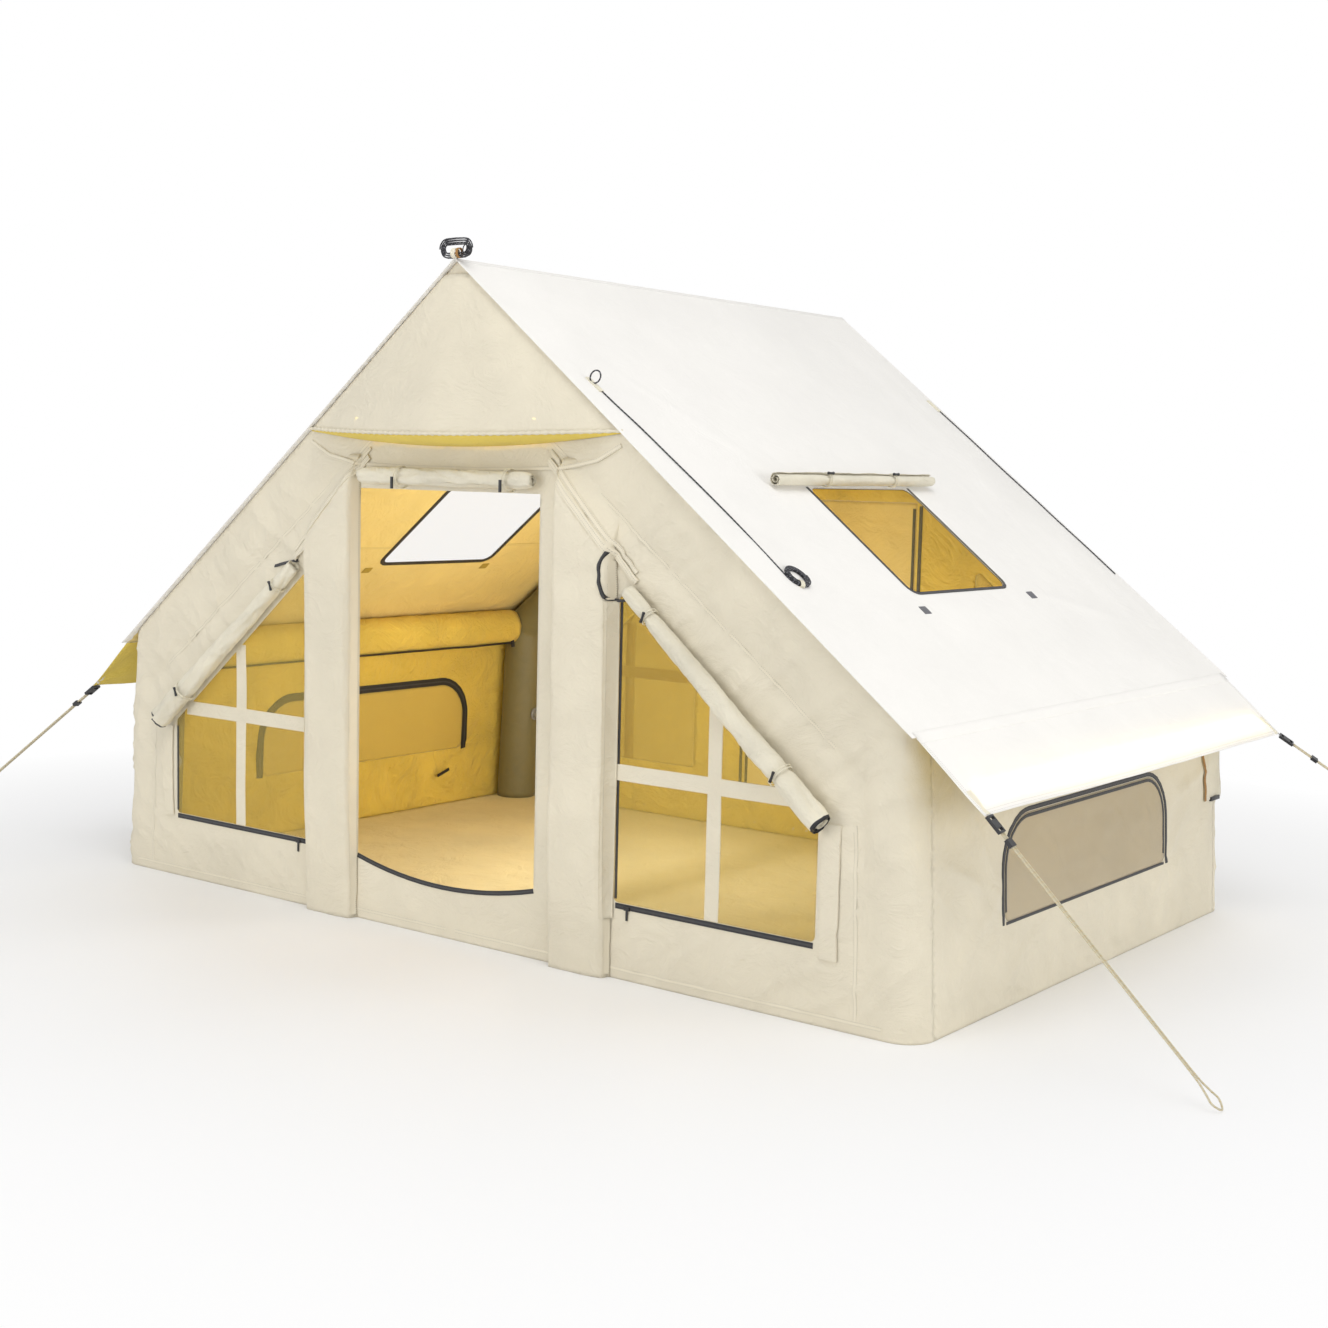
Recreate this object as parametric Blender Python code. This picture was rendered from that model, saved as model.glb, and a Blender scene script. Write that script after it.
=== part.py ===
"""Inflatable house tent, modelled piece by piece in metres, +Z up.

The origin is the middle of the groundsheet's underside. +X is the tent's right as seen from the door,
the door side faces -Y, and the ridge runs along Y.
"""
import math

import bmesh
import bpy
import numpy as np
from mathutils import Matrix, Vector

# Driving dimensions of the tent body
TENT_WIDTH = 3.10
TENT_DEPTH = 2.00
EAVE_HEIGHT = 0.76
RIDGE_HEIGHT = 1.95
WALL_LEAN = 0.04
ROOF_OVERHANG = 0.02
FABRIC = 0.002
GAP = 0.0003
OVERRUN = 0.05

# Air frame
ARCH_RADIUS = 0.08
ARCH_BEND = 0.085
BEAM_RADIUS = 0.065
RIDGE_BEAM_RADIUS = 0.06
POST_RADIUS = 0.046
TUBE_WALL = 0.0015
FOOT_WALL = 0.003
TUBE_SIDES = 16
CORNER_SIDES = TUBE_SIDES // 4
BEND_STEPS = 4

# Air valves
PORT_RADIUS = 0.014
PORT_CLEARANCE = 0.0005
PORT_HEIGHT = 0.36
STEM_LENGTH = 0.006
FLANGE_RADIUS = 0.026
FLANGE_THICKNESS = 0.004
VALVE_RADIUS = 0.019
VALVE_HEIGHT = 0.012
CAP_RADIUS = 0.021
CAP_THICKNESS = 0.004
CAP_HINGE_RADIUS = 0.003
CAP_HINGE_CLEARANCE = 0.0012
RELIEF_RADIUS = 0.016
RELIEF_HEIGHT = 0.007
VALVE_SIDES = 24

# Door post sleeves on the front wall
POST_X = 0.494
SLEEVE_HALF_WIDTH = 0.104
SLEEVE_TOP = 1.40
SLEEVE_TAPER = 0.14
SLEEVE_TIP_DEPTH = 0.012
SLEEVE_STEPS = 10

# Door and windows of the two gable walls
DOOR_STRIP_WIDTH = 0.073
DOOR_TOP = 1.30
SILL_HEIGHT = 0.20
SILL_DIP = 0.045
SILL_STEPS = 8
WINDOW_INNER_GAP = 0.006
WINDOW_OUTER_X = 1.25
WINDOW_BOTTOM = 0.21
WINDOW_OUTER_TOP = 0.52
WINDOW_INNER_TOP = 1.06
WINDOW_CORNER = 0.015
WINDOW_CORNER_STEPS = 2
BAR_X = 0.93
BAR_Z = 0.565
BAR_WIDTH = 0.045
BAR_THICKNESS = 0.0015
BAR_SINK = 0.0005
MESH_THICKNESS = 0.001

# Zipped door in the back wall
BACK_DOOR_HALF_WIDTH = 0.36
BACK_DOOR_TOP = 1.28
BACK_DOOR_BOTTOM = 0.15
BACK_DOOR_HINGE_ABOVE = 0.0003
BACK_DOOR_HINGE_BELOW = 0.0006
BACK_DOOR_SIDE_GAP = 0.0006

# Mesh windows of the side walls
SIDE_WINDOW_RIGHT_ALONG = -0.010
SIDE_WINDOW_LEFT_ALONG = 0.128
SIDE_WINDOW_HALF_WIDTH = 0.53
SIDE_WINDOW_BOTTOM = 0.225
SIDE_WINDOW_TOP = 0.50
SIDE_WINDOW_CORNER = 0.14
SIDE_WINDOW_LOW_CORNER = 0.03
CORNER_STEPS = 5

# Roof skylights
SKYLIGHT_RIGHT_DOWN = 0.99
SKYLIGHT_RIGHT_ALONG = -0.08
SKYLIGHT_LEFT_DOWN = 1.045
SKYLIGHT_LEFT_ALONG = 0.12
SKYLIGHT_LENGTH = 0.45
SKYLIGHT_HALF_WIDTH = 0.28
SKYLIGHT_CORNER = 0.03
SKYLIGHT_CORNER_STEPS = 3

# Awnings
AWNING_LENGTH = 0.25
AWNING_PITCH = math.radians(41.0)
EAVE_OVERHANG = 0.008
AWNING_SEAM_IN = 0.0004
AWNING_SEAM_OUT = 0.0006

# Hood over the door
HOOD_HEM = 1.47
HOOD_SAG = 0.015
HOOD_BULGE = 0.10
HOOD_EDGE = 0.004
HOOD_COLUMNS = 10
HOOD_ROWS = 6
HOOD_REACH_SHARE = 0.917

# Rolled covers
DOOR_ROLL_RADIUS = 0.035
DOOR_ROLL_END_GAP = 0.010
WINDOW_ROLL_START = (0.655, 1.062)
WINDOW_ROLL_END = (1.290, 0.525)
WINDOW_ROLL_THIN = 0.026
WINDOW_ROLL_FAT = 0.042
SKY_ROLL_RADIUS = 0.022
SKY_ROLL_HALF_LENGTH = 0.475
SKY_ROLL_ABOVE = 0.030
ROLL_SIDES = 12
ROLL_TUCK_SHARE = 0.35

# Toggles on the rolled door
TOGGLE_LENGTH = 0.034
TOGGLE_RADIUS = 0.0045
TOGGLE_DROP = 0.0155
TOGGLE_FIRST_X = -0.183
TOGGLE_SECOND_X = 0.236

# Zip sliders under the front windows
ZIP_SLIDER_WIDTH = 0.018
ZIP_SLIDER_HEIGHT = 0.010
ZIP_SLIDER_DEPTH = 0.006
ZIP_PULL_LENGTH = 0.030
ZIP_PULL_WIDTH = 0.006
ZIP_PULL_DEPTH = 0.0025
ZIP_SLIDER_INSET = 0.05
ZIP_SLIDER_BELOW = 0.012

# Guy lines of the awnings
BUCKLE_LENGTH = 0.050
BUCKLE_WIDTH = 0.030
BUCKLE_THICKNESS = 0.008
BUCKLE_INSET = 0.003
BUCKLE_SLOT_LENGTH = 0.008
BUCKLE_SLOT_MARGIN = 0.005
GUY_DIAMETER = 0.005
GUY_SPACING = 0.010
GUY_LOOP_LENGTH = 0.10
GUY_LOOP_HALF_WIDTH = 0.022
GUY_GROUND_LIFT = 0.0030
GUY_STRAND_SHARES = (0.35, 0.7, 1.0)
GUY_STRAND_STEPS = 2
GUY_LOOP_STEPS = 4
TENSIONER_LENGTH = 0.022
TENSIONER_HEIGHT = 0.010
TENSIONER_MARGIN = 0.004
TENSIONER_CLEARANCE = 0.0006
# Each guy line's ground loop beyond the tent's side and beyond its end, and its tensioner below the buckle
GUY_REACH_RIGHT_FRONT = (0.73, -0.06)
GUY_REACH_RIGHT_BACK = (0.95, 0.38)
GUY_REACH_LEFT_FRONT = (0.91, 0.155)
TENSIONER_RIGHT_FRONT = 0.030
TENSIONER_RIGHT_BACK = 0.080
TENSIONER_LEFT_FRONT = 0.060

# Stored guy lines on the roof
STORED_DIAMETER = 0.004
LOOP_PITCH = 0.0053
HANK_PITCH = 0.0062
HANK_FLATNESS = 5
LOOP_TURNS = 3
LOOP_POINTS = 24
COIL_OUTER_RADIUS = 0.040
APEX_RUN = 0.060
APEX_OUTER_RADIUS = 0.030
TAB_LENGTH = 0.062
TAB_WIDTH = 0.018
TAB_THICKNESS = 0.004
TAB_ROUNDING_SHARE = 0.5
ROUTE_STEPS = 4
RUN_LIFT = 0.0006
# Each route's points: distance down the slope from the ridge, and distance in from the gable wall
FRONT_RUN = (
    (0.600, 0.068), (0.660, 0.073), (0.760, 0.085), (0.880, 0.092),
    (1.000, 0.099), (1.120, 0.103), (1.240, 0.102), (1.360, 0.098),
)
BACK_RUN = (
    (0.560, 0.010), (0.620, 0.008), (0.740, 0.005), (0.880, 0.008),
    (1.020, 0.004), (1.160, 0.006), (1.300, 0.002), (1.430, 0.004),
)

# Strap on the right side wall, by the back corner
STRAP_FROM_BACK = 0.043
STRAP_TOP_WIDTH = 0.178
STRAP_BOTTOM_WIDTH = 0.135
STRAP_BELOW_EAVE = 0.060
STRAP_LENGTH = 0.328
STRAP_CLIP_HEIGHT = 0.018
STRAP_CLIP_THICKNESS = 0.010

# Derived sizes
HALF_W = TENT_WIDTH / 2
HALF_D = TENT_DEPTH / 2
EAVE_X = HALF_W - WALL_LEAN
SLOPE = math.atan2(RIDGE_HEIGHT - EAVE_HEIGHT, EAVE_X)
SLOPE_LENGTH = math.hypot(RIDGE_HEIGHT - EAVE_HEIGHT, EAVE_X)
LEAN_ANGLE = math.atan2(WALL_LEAN, EAVE_HEIGHT)
PANEL_LENGTH = SLOPE_LENGTH + EAVE_OVERHANG
ROOF_START = (FABRIC * math.sin(SLOPE) + GAP / 2) / math.cos(SLOPE)
CORNER_RADIUS = ARCH_RADIUS + FABRIC + GAP
UNDER_ROOF = (FABRIC + GAP) / math.cos(SLOPE)
FLOOR_TOP = FABRIC + GAP
DOOR_LEFT_X = SLEEVE_HALF_WIDTH - POST_X
DOOR_RIGHT_X = POST_X - SLEEVE_HALF_WIDTH - DOOR_STRIP_WIDTH
SLEEVE_DEPTH = 2 * POST_RADIUS + 2 * GAP + FABRIC
WINDOW_INNER_X = POST_X + SLEEVE_HALF_WIDTH + WINDOW_INNER_GAP

CLOTH = (0.86, 0.80, 0.66)
CLOTH_SUNLIT = (0.93, 0.91, 0.86)
CLOTH_ROLLED = (0.84, 0.77, 0.62)
GREY_TUBE = (0.22, 0.22, 0.16)
FLOOR_CLOTH = (0.72, 0.60, 0.40)
NET = (0.45, 0.41, 0.31)
BLACK = (0.02, 0.02, 0.022)
CORD_DARK = (0.05, 0.05, 0.06)
CORD_PALE = (0.85, 0.82, 0.74)
VALVE_GREY = (0.30, 0.31, 0.32)


def clear_scene():
    for old in list(bpy.data.objects):
        bpy.data.objects.remove(old, do_unlink=True)


def material(name, colour, roughness):
    made = bpy.data.materials.get(name)
    if made is None:
        made = bpy.data.materials.new(name)
        made.use_nodes = True
        shader = made.node_tree.nodes["Principled BSDF"]
        shader.inputs["Base Color"].default_value = (*colour, 1.0)
        shader.inputs["Roughness"].default_value = roughness
        shader.inputs["Metallic"].default_value = 0.0
    return made


def finish_mesh(name, mesh_edit, colour, roughness=0.9, place=None, smooth_deg=None):
    """Turns an edit mesh into the object of one sub-part, with its own material."""
    bmesh.ops.recalc_face_normals(mesh_edit, faces=mesh_edit.faces)
    mesh = bpy.data.meshes.new(name)
    mesh_edit.to_mesh(mesh)
    mesh_edit.free()
    made = bpy.data.objects.new(name, mesh)
    bpy.context.collection.objects.link(made)
    mesh.materials.append(material(name + "_finish", colour, roughness))
    if smooth_deg is not None:
        mesh.shade_smooth()
        mesh.set_sharp_from_angle(angle=math.radians(smooth_deg))
    if place is not None:
        made.matrix_world = place
    return made


def cutter(name, mesh_edit):
    made = finish_mesh(name, mesh_edit, BLACK)
    made.hide_render = True
    made.display_type = "WIRE"
    return made


def cut(target, tool):
    boolean = target.modifiers.new("cut_" + tool.name, "BOOLEAN")
    boolean.operation = "DIFFERENCE"
    boolean.solver = "EXACT"
    boolean.object = tool


def add_to(target, tool):
    boolean = target.modifiers.new("join_" + tool.name, "BOOLEAN")
    boolean.operation = "UNION"
    boolean.solver = "EXACT"
    boolean.object = tool


def basis(origin, across, up, out):
    """A place whose local X, Y and Z run along across, up and out."""
    made = Matrix((across, up, out)).transposed().to_4x4()
    made.translation = Vector(origin)
    return made


def rounded(points, radii, steps=CORNER_STEPS):
    """An outline whose corners are arcs; a corner of radius zero stays sharp."""
    made = []
    count = len(points)
    for index, (point, radius) in enumerate(zip(points, radii)):
        corner = Vector(point)
        if radius == 0:
            made.append(corner)
            continue
        back = (Vector(points[index - 1]) - corner).normalized()
        ahead = (Vector(points[(index + 1) % count]) - corner).normalized()
        half = back.angle(ahead) / 2
        reach = radius / math.tan(half)
        centre = corner + (back + ahead).normalized() * (radius / math.sin(half))
        start = corner + back * reach - centre
        end = corner + ahead * reach - centre
        for step in range(steps + 1):
            made.append(centre + start.slerp(end, step / steps) * radius)
    return made


def flat_solid(outline, holes, depth):
    """A plate with holes; its outer face is at local Z zero and it is depth thick below that."""
    made = bmesh.new()
    edges = []
    for loop in [outline, *holes]:
        corners = [made.verts.new((point[0], point[1], 0.0)) for point in loop]
        for index, corner in enumerate(corners):
            edges.append(made.edges.new((corners[index - 1], corner)))
    bmesh.ops.triangle_fill(made, use_beauty=True, edges=edges, normal=(0.0, 0.0, 1.0))
    grown = bmesh.ops.extrude_face_region(made, geom=made.faces[:])
    moved = [item for item in grown["geom"] if isinstance(item, bmesh.types.BMVert)]
    bmesh.ops.translate(made, verts=moved, vec=(0.0, 0.0, -depth))
    return made


def block(size, centre=(0.0, 0.0, 0.0)):
    made = bmesh.new()
    bmesh.ops.create_cube(made, size=1.0)
    bmesh.ops.scale(made, vec=size, verts=made.verts)
    bmesh.ops.translate(made, vec=centre, verts=made.verts)
    return made


def round_bar(radius, length, sides, place):
    """A bar along local Z, from zero to its length."""
    made = bmesh.new()
    bmesh.ops.create_cone(
        made, cap_ends=True, segments=sides, radius1=radius, radius2=radius, depth=length
    )
    bmesh.ops.translate(made, vec=(0.0, 0.0, length / 2), verts=made.verts)
    bmesh.ops.transform(made, matrix=place, verts=made.verts)
    return made


def gable_place(side):
    """Local X along the tent's width, local Y up, local Z out of the front (side -1) or back wall."""
    return basis((0, side * HALF_D, 0), (-side, 0, 0), (0, 0, 1), (0, side, 0))


def roof_place(side):
    """Local X along the ridge, local Y up the slope, local Z out of the roof; the origin is on the ridge."""
    up = Vector((-side * math.cos(SLOPE), 0, math.sin(SLOPE)))
    out = Vector((side * math.sin(SLOPE), 0, math.cos(SLOPE)))
    return basis((0, 0, RIDGE_HEIGHT), up.cross(out), up, out)


def roof_point(side, down, along, lift):
    x = side * (down * math.cos(SLOPE) + lift * math.sin(SLOPE))
    z = RIDGE_HEIGHT - down * math.sin(SLOPE) + lift * math.cos(SLOPE)
    return Vector((x, along, z))


def wall_place(side):
    """Local X along the wall, local Y up it, local Z out of it; the origin is on the floor."""
    up = Vector((-side * math.sin(LEAN_ANGLE), 0, math.cos(LEAN_ANGLE)))
    out = Vector((side * math.cos(LEAN_ANGLE), 0, math.sin(LEAN_ANGLE)))
    return basis((side * HALF_W, 0, 0), up.cross(out), up, out)


def ring_at(point, tangent, reference, radius, sides):
    """One cross-section of a tube, square to the tangent."""
    first = reference - tangent * reference.dot(tangent)
    first.normalize()
    second = tangent.cross(first)
    turns = [2 * math.pi * index / sides for index in range(sides)]
    return [point + (first * math.cos(a) + second * math.sin(a)) * radius for a in turns]


def swept_tube(path, radii, reference, sides, level_ends=False):
    """A closed solid tube along a path; each ring lies in the plane that halves its bend, an end ring
    square to the path or level."""
    made = bmesh.new()
    rings = []
    last = len(path[1:])
    for index, point in enumerate(path):
        before = (point - path[index - 1]).normalized() if index else None
        after = (path[index + 1] - point).normalized() if index < last else None
        tangent = before if after is None else after if before is None else (before + after).normalized()
        ring = ring_at(point, tangent, reference, radii[index], sides)
        if before is not None and after is not None:
            stretch = 1 / tangent.dot(after)
            bend_axis = before.cross(after)
            if bend_axis.length > 0:
                across = bend_axis.normalized().cross(tangent)
                ring = [p + across * ((p - point).dot(across) * (stretch - 1)) for p in ring]
        elif level_ends:
            ring = [p + tangent * ((point.z - p.z) / tangent.z) for p in ring]
        rings.append([made.verts.new(p) for p in ring])
    for one, two in zip(rings, rings[1:]):
        for index in range(sides):
            made.faces.new((one[index - 1], one[index], two[index], two[index - 1]))
    made.faces.new(rings[0])
    made.faces.new(rings[-1][::-1])
    return made


def bent_path(corners, bend):
    """Straight runs through the corners, with an arc of the bend's radius at each inner corner."""
    made = [corners[0]]
    for index in range(1, len(corners) - 1):
        corner = corners[index]
        back = (corners[index - 1] - corner).normalized()
        ahead = (corners[index + 1] - corner).normalized()
        half = back.angle(ahead) / 2
        reach = bend / math.tan(half)
        centre = corner + (back + ahead).normalized() * (bend / math.sin(half))
        start = corner + back * reach - centre
        end = corner + ahead * reach - centre
        made += [centre + start.slerp(end, step / BEND_STEPS) * bend for step in range(BEND_STEPS + 1)]
    made.append(corners[-1])
    return made


def arch_corners(inset, foot):
    """The middle line of a tube that lies this far inside the gable's outline, in the XZ plane."""
    foot_x = HALF_W - inset / math.cos(LEAN_ANGLE) - foot * math.tan(LEAN_ANGLE)
    wall_x = HALF_W - inset / math.cos(LEAN_ANGLE)
    peak_z = RIDGE_HEIGHT - inset / math.cos(SLOPE)
    eave_z = (peak_z - wall_x * math.tan(SLOPE)) / (1 - math.tan(LEAN_ANGLE) * math.tan(SLOPE))
    eave_x = wall_x - eave_z * math.tan(LEAN_ANGLE)
    right = [(foot_x, foot), (eave_x, eave_z)]
    left = [(-eave_x, eave_z), (-foot_x, foot)]
    return right + [(0.0, peak_z)] + left


def beam_place(inset):
    return arch_corners(inset, FLOOR_TOP)[1]


def build_arch(name, side, port_side):
    """One inflated arch: two corner columns and two rafters in a single tube, with an air port."""
    plane_y = side * (HALF_D - CORNER_RADIUS)
    reference = Vector((0, 1, 0))
    shells = []
    for radius, foot in ((ARCH_RADIUS, FLOOR_TOP), (ARCH_RADIUS - TUBE_WALL, FLOOR_TOP + FOOT_WALL)):
        corners = [Vector((x, plane_y, z)) for x, z in arch_corners(CORNER_RADIUS, foot)]
        path = bent_path(corners, ARCH_BEND)
        shells.append(swept_tube(path, [radius] * len(path), reference, TUBE_SIDES, level_ends=True))
    arch = finish_mesh(name, shells[0], GREY_TUBE, 0.6, smooth_deg=40)
    cut(arch, cutter(name + "_hollow", shells[1]))
    place = port_place(side, port_side)
    inward = Matrix.Translation((0, 0, -ARCH_RADIUS / 2))
    hole = round_bar(PORT_RADIUS, ARCH_RADIUS, VALVE_SIDES, place @ inward)
    cut(arch, cutter(name + "_port", hole))
    return arch


def port_place(side, port_side):
    """The air port's place on the inner side of a column; local Z points into the tent."""
    out = Vector((-port_side * math.cos(LEAN_ANGLE), 0, -math.sin(LEAN_ANGLE)))
    up = Vector((-port_side * math.sin(LEAN_ANGLE), 0, math.cos(LEAN_ANGLE)))
    x = HALF_W - CORNER_RADIUS / math.cos(LEAN_ANGLE) - PORT_HEIGHT * math.tan(LEAN_ANGLE)
    axis_point = Vector((port_side * x, side * (HALF_D - CORNER_RADIUS), PORT_HEIGHT))
    return basis(axis_point + out * ARCH_RADIUS, up.cross(out), up, out)


def turned(profile, sides, place):
    """A solid turned about local Z from a profile of radius and height that starts and ends on the axis."""
    made = bmesh.new()
    points = [made.verts.new((radius, 0.0, height)) for radius, height in profile]
    edges = [made.edges.new(pair) for pair in zip(points, points[1:])]
    bmesh.ops.spin(
        made, geom=points + edges, cent=(0, 0, 0), axis=(0, 0, 1), angle=2 * math.pi, steps=sides
    )
    bmesh.ops.remove_doubles(made, verts=made.verts, dist=GAP / 10)
    bmesh.ops.transform(made, matrix=place, verts=made.verts)
    return made


def build_valves():
    """The inflation valve on the back arch with its hinged cap, and the relief valve on the front arch."""
    place = port_place(1, -1)
    stem = PORT_RADIUS - PORT_CLEARANCE
    top = GAP + FLANGE_THICKNESS
    profile = [
        (0, GAP - STEM_LENGTH), (stem, GAP - STEM_LENGTH), (stem, GAP), (FLANGE_RADIUS, GAP),
        (FLANGE_RADIUS, top), (VALVE_RADIUS, top), (VALVE_RADIUS, top + VALVE_HEIGHT), (0, top + VALVE_HEIGHT),
    ]
    finish_mesh("inflation_valve", turned(profile, VALVE_SIDES, place), VALVE_GREY, 0.45, smooth_deg=30)

    hinge_y = CAP_RADIUS + CAP_HINGE_CLEARANCE
    cap_profile = [(0, 0), (CAP_RADIUS, 0), (CAP_RADIUS, CAP_THICKNESS), (0, CAP_THICKNESS)]
    cap_shape = turned(cap_profile, VALVE_SIDES, Matrix.Translation((0, -hinge_y, 0)))
    cap_place = place @ Matrix.Translation((0, hinge_y, top + VALVE_HEIGHT + GAP))
    cap = finish_mesh("valve_cap", cap_shape, VALVE_GREY, 0.45, place=cap_place, smooth_deg=30)
    tab_length = CAP_HINGE_RADIUS + 2 * CAP_HINGE_CLEARANCE
    tab_centre = (0, CAP_HINGE_RADIUS / 2 - CAP_HINGE_CLEARANCE, CAP_THICKNESS / 2)
    tab = cutter("valve_cap_tab", block((2 * CAP_HINGE_RADIUS, tab_length, CAP_THICKNESS), tab_centre))
    tab.matrix_world = cap_place
    add_to(cap, tab)

    front = port_place(-1, -1)
    relief_profile = [
        (0, GAP - STEM_LENGTH), (stem, GAP - STEM_LENGTH), (stem, GAP), (FLANGE_RADIUS, GAP),
        (FLANGE_RADIUS, top), (RELIEF_RADIUS, top), (RELIEF_RADIUS, top + RELIEF_HEIGHT), (0, top + RELIEF_HEIGHT),
    ]
    finish_mesh("relief_valve", turned(relief_profile, VALVE_SIDES, front), VALVE_GREY, 0.45, smooth_deg=30)


def build_beams():
    """Two eave beams and the ridge beam, open pipes whose ends meet the arches."""
    half = HALF_D - CORNER_RADIUS - ARCH_RADIUS - GAP
    eave = beam_place(BEAM_RADIUS + FABRIC + GAP)
    ridge_z = RIDGE_HEIGHT - (RIDGE_BEAM_RADIUS + FABRIC + GAP) / math.cos(SLOPE)
    specs = (
        ("eave_beam_right", (eave[0], eave[1]), BEAM_RADIUS),
        ("eave_beam_left", (-eave[0], eave[1]), BEAM_RADIUS),
        ("ridge_beam", (0.0, ridge_z), RIDGE_BEAM_RADIUS),
    )
    for name, (x, z), radius in specs:
        place = basis((x, -half, z), (1, 0, 0), (0, 0, -1), (0, 1, 0))
        beam = finish_mesh(name, round_bar(radius, 2 * half, TUBE_SIDES, place), CLOTH, smooth_deg=40)
        longer = place @ Matrix.Translation((0, 0, -OVERRUN))
        bore = round_bar(radius - TUBE_WALL, 2 * half + 2 * OVERRUN, TUBE_SIDES, longer)
        cut(beam, cutter(name + "_bore", bore))


def build_posts():
    """Two slim inflated door posts, each behind its sleeve on the front wall."""
    top = SLEEVE_TOP - SLEEVE_TAPER
    y = -HALF_D - GAP - POST_RADIUS
    for name, side in (("door_post_right", 1), ("door_post_left", -1)):
        place = Matrix.Translation((side * POST_X, y, 0.0))
        post = finish_mesh(name, round_bar(POST_RADIUS, top, TUBE_SIDES, place), GREY_TUBE, 0.6, smooth_deg=40)
        longer = place @ Matrix.Translation((0, 0, FOOT_WALL))
        bore = round_bar(POST_RADIUS - TUBE_WALL, top, TUBE_SIDES, longer)
        cut(post, cutter(name + "_bore", bore))


def build_sleeves():
    """The cloth sleeve over each door post: a half round channel that closes onto the wall at its top."""
    rings = ((0.0, SLEEVE_DEPTH), (SLEEVE_TOP - SLEEVE_TAPER, SLEEVE_DEPTH), (SLEEVE_TOP, SLEEVE_TIP_DEPTH))
    for name, side in (("post_sleeve_right", 1), ("post_sleeve_left", -1)):
        made = bmesh.new()
        loops = []
        for height, depth in rings:
            outer = sleeve_arc(side, height, SLEEVE_HALF_WIDTH, depth)
            inner = sleeve_arc(side, height, SLEEVE_HALF_WIDTH - FABRIC, depth - FABRIC)
            loops.append([made.verts.new(p) for p in outer + inner[::-1]])
        for one, two in zip(loops, loops[1:]):
            for index in range(len(one)):
                made.faces.new((one[index - 1], one[index], two[index], two[index - 1]))
        half = SLEEVE_STEPS + 1
        for loop in (loops[0], loops[-1]):
            for index in range(SLEEVE_STEPS):
                other = 2 * half - 1 - index
                made.faces.new((loop[index], loop[index + 1], loop[other - 1], loop[other]))
        finish_mesh(name, made, CLOTH, smooth_deg=50)


def sleeve_arc(side, height, half_width, depth):
    made = []
    for step in range(SLEEVE_STEPS + 1):
        turn = math.pi * step / SLEEVE_STEPS
        x = side * POST_X + half_width * math.cos(turn)
        made.append(Vector((x, -HALF_D - GAP - depth * math.sin(turn), height)))
    return made


def gable_band(side):
    """A gable wall as one standing band of cloth with rounded corners, up to the ridge's height."""
    made = bmesh.new()
    rings = []
    for height in (0.0, RIDGE_HEIGHT):
        shift = height * math.tan(LEAN_ANGLE)
        outer = band_line(side, CORNER_RADIUS, shift)
        inner = band_line(side, CORNER_RADIUS - FABRIC, shift)
        rings.append([made.verts.new((x, y, height)) for x, y in outer + inner[::-1]])
    count = len(rings[0])
    half = count // 2
    for index in range(count):
        made.faces.new((rings[0][index - 1], rings[0][index], rings[1][index], rings[1][index - 1]))
    for ring in rings:
        for index in range(half - 1):
            made.faces.new((ring[index], ring[index + 1], ring[count - 2 - index], ring[count - 1 - index]))
    return made


def band_line(side, radius, shift):
    centre_x = HALF_W - CORNER_RADIUS - shift
    centre_y = HALF_D - CORNER_RADIUS
    made = []
    for step in range(CORNER_SIDES + 1):
        turn = math.pi / 2 * step / CORNER_SIDES
        made.append((centre_x + radius * math.cos(turn), side * (centre_y + radius * math.sin(turn))))
    return made + [(-x, y) for x, y in made[::-1]]


def under_roof_cutter(name):
    """Everything above the underside of the roof cloth, as one long prism."""
    reach = HALF_W + OVERRUN
    peak = RIDGE_HEIGHT - UNDER_ROOF
    low = peak - reach * math.tan(SLOPE)
    top = RIDGE_HEIGHT + OVERRUN
    outline = [(-reach, low), (0.0, peak), (reach, low), (reach, top), (-reach, top)]
    shape = flat_solid(outline, [], TENT_DEPTH + 2 * OVERRUN)
    place = basis((0, -HALF_D - OVERRUN, 0), (1, 0, 0), (0, 0, 1), (0, -1, 0))
    bmesh.ops.transform(shape, matrix=place, verts=shape.verts)
    return cutter(name, shape)


def door_outline():
    """The front doorway, whose zipped sill dips in the middle."""
    made = [(DOOR_RIGHT_X, DOOR_TOP), (DOOR_LEFT_X, DOOR_TOP)]
    middle = (DOOR_LEFT_X + DOOR_RIGHT_X) / 2
    half = (DOOR_RIGHT_X - DOOR_LEFT_X) / 2
    for step in range(SILL_STEPS + 1):
        share = 2 * step / SILL_STEPS - 1
        made.append((middle + share * half, SILL_HEIGHT - SILL_DIP * (1 - share * share)))
    return made


def window_outline(side, shrink=0.0):
    """A gable window: upright inner and outer edges and a top edge that follows the roof."""
    inner = WINDOW_INNER_X + shrink
    outer = WINDOW_OUTER_X - shrink
    rise = (WINDOW_INNER_TOP - WINDOW_OUTER_TOP) / (WINDOW_OUTER_X - WINDOW_INNER_X)
    drop = shrink * math.hypot(1, rise)
    top_inner = WINDOW_INNER_TOP - rise * shrink - drop
    top_outer = WINDOW_OUTER_TOP + rise * shrink - drop
    low = WINDOW_BOTTOM + shrink
    points = [(side * inner, low), (side * outer, low), (side * outer, top_outer), (side * inner, top_inner)]
    return rounded(points, [WINDOW_CORNER] * len(points), WINDOW_CORNER_STEPS)


def back_door_outline(grow_side, top):
    half = BACK_DOOR_HALF_WIDTH + grow_side
    low = BACK_DOOR_BOTTOM - grow_side
    return [(-half, low), (half, low), (half, top), (-half, top)]


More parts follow.
